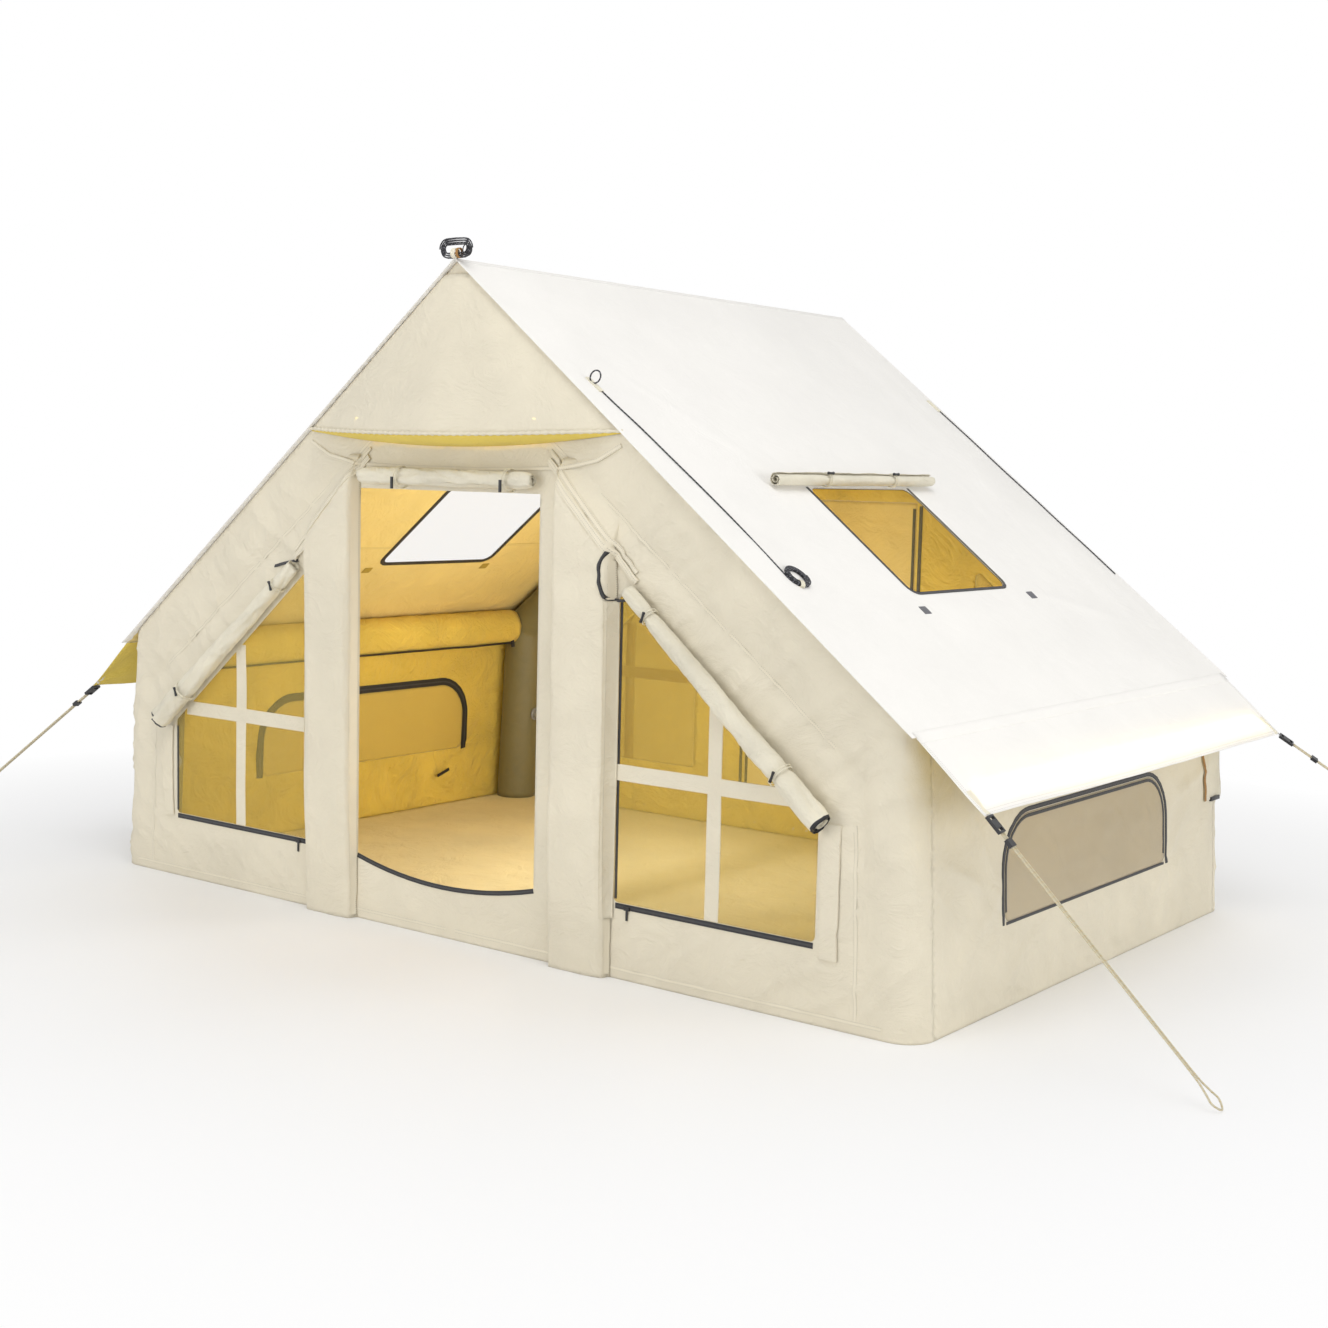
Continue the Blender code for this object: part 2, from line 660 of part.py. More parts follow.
def gable_prism(name, outline, side):
    shape = flat_solid(outline, [], 2 * OVERRUN)
    place = gable_place(side) @ Matrix.Translation((0, 0, OVERRUN))
    bmesh.ops.transform(shape, matrix=place, verts=shape.verts)
    return cutter(name, shape)


def build_gables():
    roof_tool = under_roof_cutter("roof_space")
    for name, side in (("front_wall", -1), ("back_wall", 1)):
        wall = finish_mesh(name, gable_band(side), CLOTH, smooth_deg=40)
        cut(wall, roof_tool)
        for label, window_side in (("right", 1), ("left", -1)):
            cut(wall, gable_prism(f"{name}_{label}_hole", window_outline(window_side), side))
        hinge_z = BACK_DOOR_TOP + BACK_DOOR_HINGE_ABOVE
        door = door_outline() if side < 0 else back_door_outline(BACK_DOOR_SIDE_GAP, hinge_z)
        cut(wall, gable_prism(f"{name}_doorway", door, side))


def build_back_door():
    """The zipped door of the back wall. Its own origin is on the seam that it hangs from."""
    outline = back_door_outline(0.0, BACK_DOOR_TOP - BACK_DOOR_HINGE_BELOW)
    shape = flat_solid([(x, z - BACK_DOOR_TOP) for x, z in outline], [], FABRIC)
    place = gable_place(1) @ Matrix.Translation((0, BACK_DOOR_TOP, 0))
    finish_mesh("back_door", shape, CLOTH, place=place)


def build_gable_windows():
    """Each gable window: a net pane in the hole with its sewn cross of cloth strips."""
    for gable, side in (("front", -1), ("back", 1)):
        place = gable_place(side)
        for label, window_side in (("right", 1), ("left", -1)):
            across = -side * window_side
            pane_shape = flat_solid(window_outline(across, GAP), [], MESH_THICKNESS)
            pane = finish_mesh(f"window_{gable}_{label}", pane_shape, NET, place=place)
            depth = BAR_THICKNESS + BAR_SINK
            middle = (BAR_THICKNESS - BAR_SINK) / 2
            rise = (WINDOW_INNER_TOP - WINDOW_OUTER_TOP) / (WINDOW_OUTER_X - WINDOW_INNER_X)
            bar_top = WINDOW_INNER_TOP - rise * (BAR_X + BAR_WIDTH / 2 - WINDOW_INNER_X) - WINDOW_CORNER
            low = WINDOW_BOTTOM + GAP
            upright = block((BAR_WIDTH, bar_top - low, depth), (across * BAR_X, (bar_top + low) / 2, middle))
            level_end = min(WINDOW_OUTER_X, WINDOW_INNER_X + (WINDOW_INNER_TOP - BAR_Z - BAR_WIDTH / 2) / rise)
            level_from = WINDOW_INNER_X + GAP
            level_to = level_end - WINDOW_CORNER
            level = block(
                (level_to - level_from, BAR_WIDTH, depth), (across * (level_from + level_to) / 2, BAR_Z, middle)
            )
            for part_name, shape in (("upright", upright), ("level", level)):
                bar = cutter(f"window_{gable}_{label}_{part_name}", shape)
                bar.matrix_world = place
                add_to(pane, bar)


def side_window_outline(side, shrink=0.0):
    """A side window in its wall's own plane, where local X of the left wall runs the other way."""
    middle = SIDE_WINDOW_RIGHT_ALONG if side > 0 else -SIDE_WINDOW_LEFT_ALONG
    from_x = middle - SIDE_WINDOW_HALF_WIDTH + shrink
    to_x = middle + SIDE_WINDOW_HALF_WIDTH - shrink
    low = SIDE_WINDOW_BOTTOM + shrink
    high = SIDE_WINDOW_TOP - shrink
    radii = [SIDE_WINDOW_LOW_CORNER, SIDE_WINDOW_LOW_CORNER, SIDE_WINDOW_CORNER, SIDE_WINDOW_CORNER]
    return rounded([(from_x, low), (to_x, low), (to_x, high), (from_x, high)], [r - shrink for r in radii])


def build_side_walls():
    half = HALF_D - CORNER_RADIUS - GAP
    top = (EAVE_HEIGHT - UNDER_ROOF - GAP) / math.cos(LEAN_ANGLE)
    outline = [(-half, GAP), (half, GAP), (half, top), (-half, top)]
    for label, side in (("right", 1), ("left", -1)):
        wall = flat_solid(outline, [side_window_outline(side)], FABRIC)
        finish_mesh(f"side_wall_{label}", wall, CLOTH, place=wall_place(side))
        pane = flat_solid(side_window_outline(side, GAP), [], MESH_THICKNESS)
        finish_mesh(f"side_window_{label}", pane, NET, place=wall_place(side))


def skylight_outline(side, shrink=0.0):
    """The skylight in the roof's own plane, where local X of the left roof runs the other way."""
    middle, down = skylight_spot(side)
    half = SKYLIGHT_HALF_WIDTH - shrink
    low = -down - SKYLIGHT_LENGTH + shrink
    high = -down - shrink
    points = [(middle - half, low), (middle + half, low), (middle + half, high), (middle - half, high)]
    return rounded(points, [SKYLIGHT_CORNER - shrink] * len(points), SKYLIGHT_CORNER_STEPS)


def skylight_spot(side):
    """A skylight's middle along its panel's local X, and its upper edge down the slope from the ridge."""
    if side > 0:
        return SKYLIGHT_RIGHT_ALONG, SKYLIGHT_RIGHT_DOWN
    return -SKYLIGHT_LEFT_ALONG, SKYLIGHT_LEFT_DOWN


def build_roofs():
    """Two roof panels, each with its skylight and the rolled cover above that."""
    half = HALF_D + ROOF_OVERHANG
    low = -PANEL_LENGTH + AWNING_SEAM_IN
    outline = [(-half, low), (half, low), (half, -ROOF_START), (-half, -ROOF_START)]
    for label, side in (("right", 1), ("left", -1)):
        panel = flat_solid(outline, [skylight_outline(side)], FABRIC)
        finish_mesh(f"roof_{label}", panel, CLOTH_SUNLIT, place=roof_place(side))
        pane = flat_solid(skylight_outline(side, GAP), [], MESH_THICKNESS)
        finish_mesh(f"skylight_{label}", pane, NET, place=roof_place(side))
        middle, down = skylight_spot(side)
        lift = SKY_ROLL_RADIUS + GAP
        start = Vector((middle - SKY_ROLL_HALF_LENGTH, SKY_ROLL_ABOVE - down, lift))
        end = Vector((middle + SKY_ROLL_HALF_LENGTH, SKY_ROLL_ABOVE - down, lift))
        roll = rolled_cover(start, end, SKY_ROLL_RADIUS, SKY_ROLL_RADIUS, Vector((0, 0, 1)))
        finish_mesh(f"skylight_roll_{label}", roll, CLOTH_ROLLED, place=roof_place(side), smooth_deg=50)


def rolled_cover(start, end, start_radius, end_radius, reference):
    """A rolled cover: a firm bar of cloth whose ends tuck in a little."""
    along = (end - start).normalized()
    tucks = (ROLL_TUCK_SHARE * start_radius, ROLL_TUCK_SHARE * end_radius)
    path = [start, start + along * tucks[0], end - along * tucks[1], end]
    radii = [start_radius - tucks[0], start_radius, end_radius, end_radius - tucks[1]]
    return swept_tube(path, radii, reference, ROLL_SIDES)


def awning_frame(side):
    """The awning's seam on the eave: local X along the eave, local Y up the awning, local Z out of it."""
    up = Vector((-side * math.cos(AWNING_PITCH), 0, math.sin(AWNING_PITCH)))
    out = Vector((side * math.sin(AWNING_PITCH), 0, math.cos(AWNING_PITCH)))
    return basis(awning_axis(side), up.cross(out), up, out)


def awning_axis(side):
    return roof_point(side, PANEL_LENGTH, 0.0, -FABRIC / 2)


def build_awnings():
    """Each awning hangs from the eave seam; its own origin is on that seam."""
    half = HALF_D
    near, far = -AWNING_SEAM_OUT, -AWNING_LENGTH
    outline = [(-half, far), (half, far), (half, near), (-half, near)]
    for label, side in (("right", 1), ("left", -1)):
        shape = flat_solid(outline, [], FABRIC)
        bmesh.ops.translate(shape, vec=(0, 0, FABRIC / 2), verts=shape.verts)
        finish_mesh(f"awning_{label}", shape, CLOTH_SUNLIT, place=awning_frame(side))


def guy_anchor(side, end):
    """The ground point that a corner's guy line runs to; None where the corner holds no line."""
    reaches = {(1, -1): GUY_REACH_RIGHT_FRONT, (1, 1): GUY_REACH_RIGHT_BACK, (-1, -1): GUY_REACH_LEFT_FRONT}
    if (side, end) not in reaches:
        return None
    beyond_side, beyond_end = reaches[side, end]
    height = GUY_DIAMETER / 2 + GUY_GROUND_LIFT
    return Vector((side * (HALF_W + beyond_side), end * (HALF_D + beyond_end), height))


def buckle_frame(side, end):
    """The buckle at an awning's corner, in line with its guy line: local Y points back to the awning, and
    the origin is on the near face, whose nearest corner just clears the awning's edge."""
    frame = awning_frame(side)
    across, up = frame.col[0].to_3d(), frame.col[1].to_3d()
    turn = 1 if across.y * end > 0 else -1
    tip = frame @ Vector((turn * (HALF_D - BUCKLE_WIDTH / 2 - BUCKLE_INSET), -AWNING_LENGTH, 0))
    ground = guy_anchor(side, end)
    lead = -up if ground is None else (ground - tip).normalized()
    level = (across - lead * across.dot(lead)).normalized()
    face = lead.cross(level)
    spread = BUCKLE_WIDTH / 2 * abs(level.dot(up)) + BUCKLE_THICKNESS / 2 * abs(face.dot(up))
    return basis(tip - lead * ((GAP + spread) / lead.dot(up)), level, -lead, face)


def build_buckles():
    """A ladder buckle at each corner of the awnings, with two slots for its webbing."""
    for label, side, end in corner_names():
        body = block((BUCKLE_WIDTH, BUCKLE_LENGTH, BUCKLE_THICKNESS), (0, -BUCKLE_LENGTH / 2, 0))
        buckle = finish_mesh(f"guy_buckle_{label}", body, BLACK, 0.5, place=buckle_frame(side, end))
        slot_width = BUCKLE_WIDTH - 2 * BUCKLE_SLOT_MARGIN
        far_slot = BUCKLE_LENGTH - BUCKLE_SLOT_MARGIN - BUCKLE_SLOT_LENGTH
        for index, at in enumerate((BUCKLE_SLOT_MARGIN, far_slot)):
            shape = block(
                (slot_width, BUCKLE_SLOT_LENGTH, BUCKLE_THICKNESS + OVERRUN), (0, -at - BUCKLE_SLOT_LENGTH / 2, 0)
            )
            slot = cutter(f"guy_buckle_{label}_slot_{index}", shape)
            slot.matrix_world = buckle_frame(side, end)
            cut(buckle, slot)


def corner_names():
    return (("right_front", 1, -1), ("right_back", 1, 1), ("left_front", -1, -1), ("left_back", -1, 1))


def guy_line(side, end):
    """The start at the buckle, the taut direction, the direction across the strands, and the length."""
    frame = buckle_frame(side, end)
    taut = -frame.col[1].to_3d()
    start = frame.translation + taut * (BUCKLE_LENGTH + GAP)
    return start, taut, frame.col[0].to_3d(), (guy_anchor(side, end) - start).length


def smooth_route(points, steps):
    """Points on a smooth curve through a route's own points, with this many steps in each stretch."""
    line = np.array([tuple(point) for point in points], float)
    padded = np.vstack([2 * line[0] - line[1], line, 2 * line[-1] - line[-2]])
    made = []
    for index, count in enumerate(steps):
        p0, p1, p2, p3 = padded[index:index + 4]
        for step in range(count):
            t = step / count
            curve = 2 * p1 + (p2 - p0) * t + (2 * p0 - 5 * p1 + 4 * p2 - p3) * t ** 2
            made.append((curve + (3 * p1 - p0 - 3 * p2 + p3) * t ** 3) / 2)
    made.append(line[-1])
    return made


def cord_object(name, points, diameter, colour, sides_step):
    """A cord as a round tube along its points, with closed ends."""
    curve = bpy.data.curves.new(name, "CURVE")
    curve.dimensions = "3D"
    curve.bevel_depth = diameter / 2
    curve.bevel_resolution = sides_step
    curve.use_fill_caps = True
    spline = curve.splines.new("POLY")
    spline.points.add(len(points[1:]))
    for index, point in enumerate(points):
        spline.points[index].co = (*point, 1.0)
    curve.materials.append(material(name + "_finish", colour, 0.9))
    made = bpy.data.objects.new(name, curve)
    bpy.context.collection.objects.link(made)
    return made


def guy_route(side, end):
    """Down one strand, round the ground loop and back up the other strand."""
    start, taut, across, length = guy_line(side, end)
    near = GUY_SPACING / 2
    straight = length - GUY_LOOP_LENGTH
    stations = [(start, across * near)]
    stations += [(start + taut * straight * share, across * near) for share in GUY_STRAND_SHARES]
    widening = across * ((near + GUY_LOOP_HALF_WIDTH) / 2)
    stations.append((start + taut * (length - GUY_LOOP_LENGTH / 2), widening))
    stations.append((start + taut * (length - GUY_LOOP_HALF_WIDTH), across * GUY_LOOP_HALF_WIDTH))
    outward = [point + offset for point, offset in stations]
    inward = [point - offset for point, offset in stations[::-1]]
    strand_steps = [GUY_STRAND_STEPS] * len(GUY_STRAND_SHARES)
    loop_steps = [GUY_LOOP_STEPS] * (len(stations) - len(strand_steps))
    route = outward + [start + taut * length] + inward
    return smooth_route(route, strand_steps + loop_steps + loop_steps + strand_steps[::-1])


def build_guys():
    """The three awning guy lines that the corners hold taut, each with its sliding tensioner."""
    specs = (
        ("right_front", 1, -1, TENSIONER_RIGHT_FRONT),
        ("right_back", 1, 1, TENSIONER_RIGHT_BACK),
        ("left_front", -1, -1, TENSIONER_LEFT_FRONT),
    )
    for label, side, end, below in specs:
        cord_object(f"guy_line_{label}", guy_route(side, end), GUY_DIAMETER, CORD_PALE, 2)
        start, taut, across, length = guy_line(side, end)
        place = basis(start + taut * below, across, taut, across.cross(taut))
        width = GUY_SPACING + GUY_DIAMETER + 2 * TENSIONER_MARGIN
        body = block((width, TENSIONER_LENGTH, TENSIONER_HEIGHT))
        tensioner = finish_mesh(f"guy_tensioner_{label}", body, BLACK, 0.5, place=place)
        for index, turn in enumerate((-1, 1)):
            shift = Matrix.Translation((turn * GUY_SPACING / 2, -TENSIONER_LENGTH, 0))
            local = shift @ Matrix.Rotation(-math.pi / 2, 4, "X")
            bore = round_bar(GUY_DIAMETER / 2 + TENSIONER_CLEARANCE, 2 * TENSIONER_LENGTH, ROLL_SIDES, local)
            tool = cutter(f"guy_tensioner_{label}_bore_{index}", bore)
            tool.matrix_world = place
            cut(tensioner, tool)


def wound_loops(run, outer_radius, turns, pitch):
    """Loops wound in and out again in two layers, as local points; the run makes them long."""
    made = []
    wind = 2 * math.pi * turns
    total = 2 * wind + math.pi
    count = int(round(total / (2 * math.pi) * LOOP_POINTS))
    for index in range(count + 1):
        turn = total * index / count
        if turn < wind:
            radius = outer_radius - pitch * turn / (2 * math.pi)
            climb = 0.0
        elif turn < wind + math.pi:
            share = (turn - wind) / math.pi
            radius = outer_radius - pitch * turns
            climb = pitch * share * share * (3 - 2 * share)
        else:
            radius = outer_radius - pitch * (turns - (turn - wind - math.pi) / (2 * math.pi))
            climb = pitch
        shift = run / 2 * math.tanh(HANK_FLATNESS * math.cos(turn))
        made.append(Vector((radius * math.cos(turn) + shift, radius * math.sin(turn), climb)))
    return made


def run_spot(side, end, station, lift):
    """A point of a stored run on its roof panel, at a height off the cloth."""
    down, inward = station
    return roof_point(side, down, end * (HALF_D - inward), lift)


def build_stored_lines():
    """The stored roof lines: a sewn tab, a run down the slope and, on the front ones, a coil at its end."""
    lift = STORED_DIAMETER / 2 + GAP + RUN_LIFT
    specs = (("right_front", 1, -1, FRONT_RUN), ("left_front", -1, -1, FRONT_RUN), ("right_back", 1, 1, BACK_RUN))
    for label, side, end, run in specs:
        route = [run_spot(side, end, station, lift) for station in run]
        points = smooth_route(route, [ROUTE_STEPS] * len(route[1:]))
        cord_object(f"stored_run_{label}", points, STORED_DIAMETER, CORD_DARK, 2)
        tab_place(f"guy_tab_{label}", side, run_spot(side, end, run[0], 0), run_spot(side, end, run[1], 0))
        if end < 0:
            coil_place(f"stored_coil_{label}", side, route[-2], route[-1])

    loops = wound_loops(APEX_RUN, APEX_OUTER_RADIUS, LOOP_TURNS, HANK_PITCH)
    lowest = min(point.y for point in loops)
    rest = RIDGE_HEIGHT - ROOF_START * math.sin(SLOPE) - lowest + STORED_DIAMETER / 2 + GAP
    hank_y = -HALF_D - ROOF_OVERHANG + HANK_PITCH + STORED_DIAMETER
    place = basis((0, hank_y, rest), (1, 0, 0), (0, 0, 1), (0, -1, 0))
    cord_object("stored_hank_apex", [place @ point for point in loops], STORED_DIAMETER, CORD_DARK, 1)


def tab_place(name, side, start, second):
    """A webbing tab sewn on the roof, just above the point where its line starts."""
    ahead = (second - start).normalized()
    out = Vector((side * math.sin(SLOPE), 0, math.cos(SLOPE)))
    across = ahead.cross(out).normalized()
    centre = start - ahead * (TAB_LENGTH / 2 + GAP) + out * (TAB_THICKNESS / 2 + GAP)
    tab = block((TAB_WIDTH, TAB_LENGTH, TAB_THICKNESS))
    upright = [edge for edge in tab.edges if abs(edge.verts[0].co.z - edge.verts[1].co.z) > GAP]
    bmesh.ops.bevel(
        tab, geom=upright, offset=TAB_THICKNESS, segments=2, affect="EDGES", profile=TAB_ROUNDING_SHARE
    )
    finish_mesh(name, tab, CLOTH_ROLLED, place=basis(centre, across, ahead, out))


def coil_place(name, side, before, end):
    """A round coil that lies on the roof and starts where its run ends, in the run's direction."""
    ahead = (end - before).normalized()
    out = Vector((side * math.sin(SLOPE), 0, math.cos(SLOPE)))
    across = ahead.cross(out).normalized()
    place = basis(end + ahead * GAP - across * COIL_OUTER_RADIUS, across, ahead, across.cross(ahead))
    flip = 1 if place.col[2].to_3d().dot(out) > 0 else -1
    loops = wound_loops(0.0, COIL_OUTER_RADIUS, LOOP_TURNS, LOOP_PITCH)
    points = [place @ Vector((point.x, point.y, flip * point.z)) for point in loops]
    cord_object(name, points, STORED_DIAMETER, CORD_DARK, 1)


def build_hood():
    """The hood over the door: a triangle of cloth that stands out from the wall along its hem."""
    peak = RIDGE_HEIGHT - UNDER_ROOF - GAP
    made = bmesh.new()
    fronts, backs = [], []
    for row in range(HOOD_ROWS + 1):
        height_share = row / HOOD_ROWS * HOOD_REACH_SHARE
        front_row, back_row = [], []
        for column in range(HOOD_COLUMNS + 1):
            across = 2 * column / HOOD_COLUMNS - 1
            z = HOOD_HEM + (peak - HOOD_HEM) * height_share
            half = (peak - z) / math.tan(SLOPE)
            swell = (1 - across * across) * (1 - height_share)
            z -= HOOD_SAG * swell
            y = -HALF_D - GAP - HOOD_EDGE - HOOD_BULGE * swell
            front_row.append(made.verts.new((across * half, y, z)))
            back_row.append(made.verts.new((across * half, y + FABRIC, z)))
        fronts.append(front_row)
        backs.append(back_row)
    for grid in (fronts, backs):
        for low, high in zip(grid, grid[1:]):
            for column in range(HOOD_COLUMNS):
                made.faces.new((low[column], low[column + 1], high[column + 1], high[column]))
    for row in range(HOOD_ROWS):
        for column in (0, HOOD_COLUMNS):
            made.faces.new((fronts[row][column], fronts[row + 1][column], backs[row + 1][column], backs[row][column]))
    for row in (0, HOOD_ROWS):
        for column in range(HOOD_COLUMNS):
            made.faces.new((fronts[row][column], fronts[row][column + 1], backs[row][column + 1], backs[row][column]))
    finish_mesh("front_hood", made, CLOTH, smooth_deg=60)


def build_front_rolls():
    """The rolled door above the doorway and the rolled covers along the tops of the front windows."""
    y = -HALF_D - GAP - DOOR_ROLL_RADIUS
    z = DOOR_TOP + DOOR_ROLL_RADIUS
    start = Vector((DOOR_LEFT_X + DOOR_ROLL_END_GAP, y, z))
    end = Vector((DOOR_RIGHT_X - DOOR_ROLL_END_GAP, y, z))
    roll = rolled_cover(start, end, DOOR_ROLL_RADIUS, DOOR_ROLL_RADIUS, Vector((0, 0, 1)))
    finish_mesh("door_roll", roll, CLOTH_ROLLED, smooth_deg=50)
    radii = (WINDOW_ROLL_THIN, WINDOW_ROLL_FAT)
    for label, side in (("right", 1), ("left", -1)):
        points = [
            Vector((side * x, -HALF_D - 2 * GAP - radius, height))
            for (x, height), radius in zip((WINDOW_ROLL_START, WINDOW_ROLL_END), radii)
        ]
        cover = rolled_cover(*points, *radii, Vector((0, 1, 0)))
        finish_mesh(f"window_roll_{label}", cover, CLOTH_ROLLED, smooth_deg=50)


def build_toggles():
    """Two toggles on the rolled door; each turns about its own middle."""
    y = -HALF_D - GAP - 2 * DOOR_ROLL_RADIUS - GAP - TOGGLE_RADIUS
    z = DOOR_TOP + DOOR_ROLL_RADIUS - TOGGLE_DROP
    for label, x in (("left", TOGGLE_FIRST_X), ("right", TOGGLE_SECOND_X)):
        local = Matrix.Translation((0, 0, -TOGGLE_LENGTH / 2))
        bar = round_bar(TOGGLE_RADIUS, TOGGLE_LENGTH, 10, local)
        finish_mesh(f"door_toggle_{label}", bar, BLACK, 0.4, place=Matrix.Translation((x, y, z)), smooth_deg=40)


def build_zip_sliders():
    """The slider of each front window's bottom zip, with its pull."""
    y = -HALF_D - GAP
    z = WINDOW_BOTTOM - ZIP_SLIDER_BELOW
    for label, side in (("right", 1), ("left", -1)):
        x = side * (WINDOW_INNER_X + ZIP_SLIDER_INSET)
        body = block((ZIP_SLIDER_WIDTH, ZIP_SLIDER_DEPTH, ZIP_SLIDER_HEIGHT), (0, -ZIP_SLIDER_DEPTH / 2, 0))
        slider = finish_mesh(f"zip_slider_{label}", body, BLACK, 0.4, place=Matrix.Translation((x, y, z)))
        overlap = ZIP_SLIDER_HEIGHT / 4
        pull_z = -ZIP_SLIDER_HEIGHT / 2 - ZIP_PULL_LENGTH / 2 + overlap
        pull_y = -ZIP_SLIDER_DEPTH + ZIP_PULL_DEPTH
        pull_shape = block((ZIP_PULL_WIDTH, ZIP_PULL_DEPTH, ZIP_PULL_LENGTH), (0, pull_y, pull_z))
        pull = cutter(f"zip_slider_{label}_pull", pull_shape)
        pull.matrix_world = Matrix.Translation((x, y, z))
        add_to(slider, pull)


def build_groundsheet():
    half_x = HALF_W - FABRIC - 2 * GAP
    half_y = HALF_D - FABRIC - GAP
    points = [(-half_x, -half_y), (half_x, -half_y), (half_x, half_y), (-half_x, half_y)]
    outline = rounded(points, [CORNER_RADIUS - FABRIC] * len(points), CORNER_SIDES)
    shape = flat_solid(outline, [], FABRIC)
    bmesh.ops.translate(shape, vec=(0, 0, FABRIC), verts=shape.verts)
    finish_mesh("groundsheet", shape, FLOOR_CLOTH)


def build_corner_strap():
    """A strap that hangs down the right side wall by the back corner, with a clip on its lower end."""
    edge = HALF_D - STRAP_FROM_BACK
    top = EAVE_HEIGHT - STRAP_BELOW_EAVE
    low = top - STRAP_LENGTH
    outline = [(edge - STRAP_BOTTOM_WIDTH, low), (edge, low), (edge, top), (edge - STRAP_TOP_WIDTH, top)]
    place = wall_place(1) @ Matrix.Translation((0, 0, GAP + FABRIC))
    strap = finish_mesh("corner_strap", flat_solid(outline, [], FABRIC), CLOTH, place=place)
    centre = (edge - STRAP_BOTTOM_WIDTH / 2, low, STRAP_CLIP_THICKNESS / 2 - FABRIC)
    size = (STRAP_BOTTOM_WIDTH, STRAP_CLIP_HEIGHT, STRAP_CLIP_THICKNESS)
    clip = cutter("corner_strap_clip", block(size, centre))
    clip.matrix_world = place
    add_to(strap, clip)


def main():
    clear_scene()
    build_arch("air_arch_front", -1, -1)
    build_arch("air_arch_back", 1, -1)
    build_valves()
    build_beams()
    build_posts()
    build_sleeves()
    build_groundsheet()
    build_gables()
    build_back_door()
    build_gable_windows()
    build_side_walls()
    build_roofs()
    build_awnings()
    build_hood()
    build_front_rolls()
    build_toggles()
    build_zip_sliders()
    build_buckles()
    build_guys()
    build_stored_lines()
    build_corner_strap()


main()
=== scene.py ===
"""Cloth, nets, seams, zips, cords and fittings of an inflatable house tent, and the studio round it."""
import math

import bpy
import numpy as np
from bpy.props import FloatProperty, FloatVectorProperty, PointerProperty
from mathutils import Matrix, Vector, noise
from mathutils.geometry import delaunay_2d_cdt


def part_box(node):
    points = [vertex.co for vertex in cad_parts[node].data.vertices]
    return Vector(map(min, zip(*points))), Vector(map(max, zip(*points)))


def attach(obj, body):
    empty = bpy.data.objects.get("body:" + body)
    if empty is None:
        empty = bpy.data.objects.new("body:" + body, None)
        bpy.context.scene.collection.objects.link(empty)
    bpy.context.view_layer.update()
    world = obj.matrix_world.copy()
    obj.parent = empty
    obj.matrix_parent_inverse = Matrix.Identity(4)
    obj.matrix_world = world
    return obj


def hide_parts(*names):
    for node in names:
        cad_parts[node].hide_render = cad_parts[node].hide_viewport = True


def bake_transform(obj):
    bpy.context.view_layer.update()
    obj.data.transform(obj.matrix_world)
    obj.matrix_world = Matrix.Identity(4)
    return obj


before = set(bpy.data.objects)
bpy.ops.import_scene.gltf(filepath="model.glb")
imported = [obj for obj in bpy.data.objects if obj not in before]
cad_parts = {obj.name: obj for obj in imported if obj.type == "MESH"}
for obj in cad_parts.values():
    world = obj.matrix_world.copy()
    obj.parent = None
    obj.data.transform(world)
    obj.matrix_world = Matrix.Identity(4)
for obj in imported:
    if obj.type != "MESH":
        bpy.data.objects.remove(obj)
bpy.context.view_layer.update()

bl_info = {
    "name": "Inflatable house tent",
    "version": (1, 0, 0),
    "blender": (4, 5, 0),
    "location": "View3D > Sidebar > Tent",
    "description": "Dresses the tent's frame with cloth, nets, seams, zips, cords and fittings",
    "category": "Object",
}

# The frame's own sizes, in metres
WALL_LOW, WALL_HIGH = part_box("front_wall")
HALF_W = WALL_HIGH.x
HALF_D = -WALL_LOW.y
RIDGE = 1.95
EAVE = 0.76
LEAN = 0.04
CLOTH_DEPTH = 0.0023
SLOPE = math.atan2(RIDGE - EAVE, HALF_W - LEAN)
TILT = math.atan2(LEAN, EAVE)
CORNER = 0.0823
TUBE = 0.08
ROOF_TOP = 0.0024
ROOF_LENGTH = math.hypot(RIDGE - EAVE, HALF_W - LEAN) + 0.008
AWNING_PITCH = math.radians(41.0)
AWNING_LENGTH = 0.25
DOOR_LEFT, DOOR_RIGHT, DOOR_TOP = -0.390, 0.317, 1.30
SILL, SILL_DIP = 0.20, 0.045
POST_X, SLEEVE_HALF, SLEEVE_FLAT, SLEEVE_BULGE = 0.494, 0.104, 0.098, 0.050
WINDOW = {"inner": 0.604, "outer": 1.25, "low": 0.21, "outer_top": 0.52, "inner_top": 1.06}
BAR_X, BAR_Z, BAR_WIDTH = 0.93, 0.565, 0.045
SIDE_WINDOW = {1: -0.010, -1: 0.128}
CLOSED_COVER = 0.016
SKYLIGHT = {1: (-0.08, 0.99), -1: (0.12, 1.045)}
SKYLIGHT_HALF, SKYLIGHT_LENGTH = 0.28, 0.45
HOOD_HEM = 1.47
GUYS = {
    "right_front": ((2.28, -0.94), 0.462, "awning_right"),
    "right_back": ((2.50, 1.38), 0.503, "awning_right"),
    "left_front": ((-2.46, -1.155), 0.472, "awning_left"),
}
FRONT_RUN = (
    (0.600, 0.068), (0.660, 0.073), (0.760, 0.085), (0.880, 0.092),
    (1.000, 0.099), (1.120, 0.103), (1.240, 0.102), (1.360, 0.098),
)
BACK_RUN = (
    (0.560, 0.010), (0.620, 0.008), (0.740, 0.005), (0.880, 0.008),
    (1.020, 0.004), (1.160, 0.006), (1.300, 0.002), (1.430, 0.004),
)


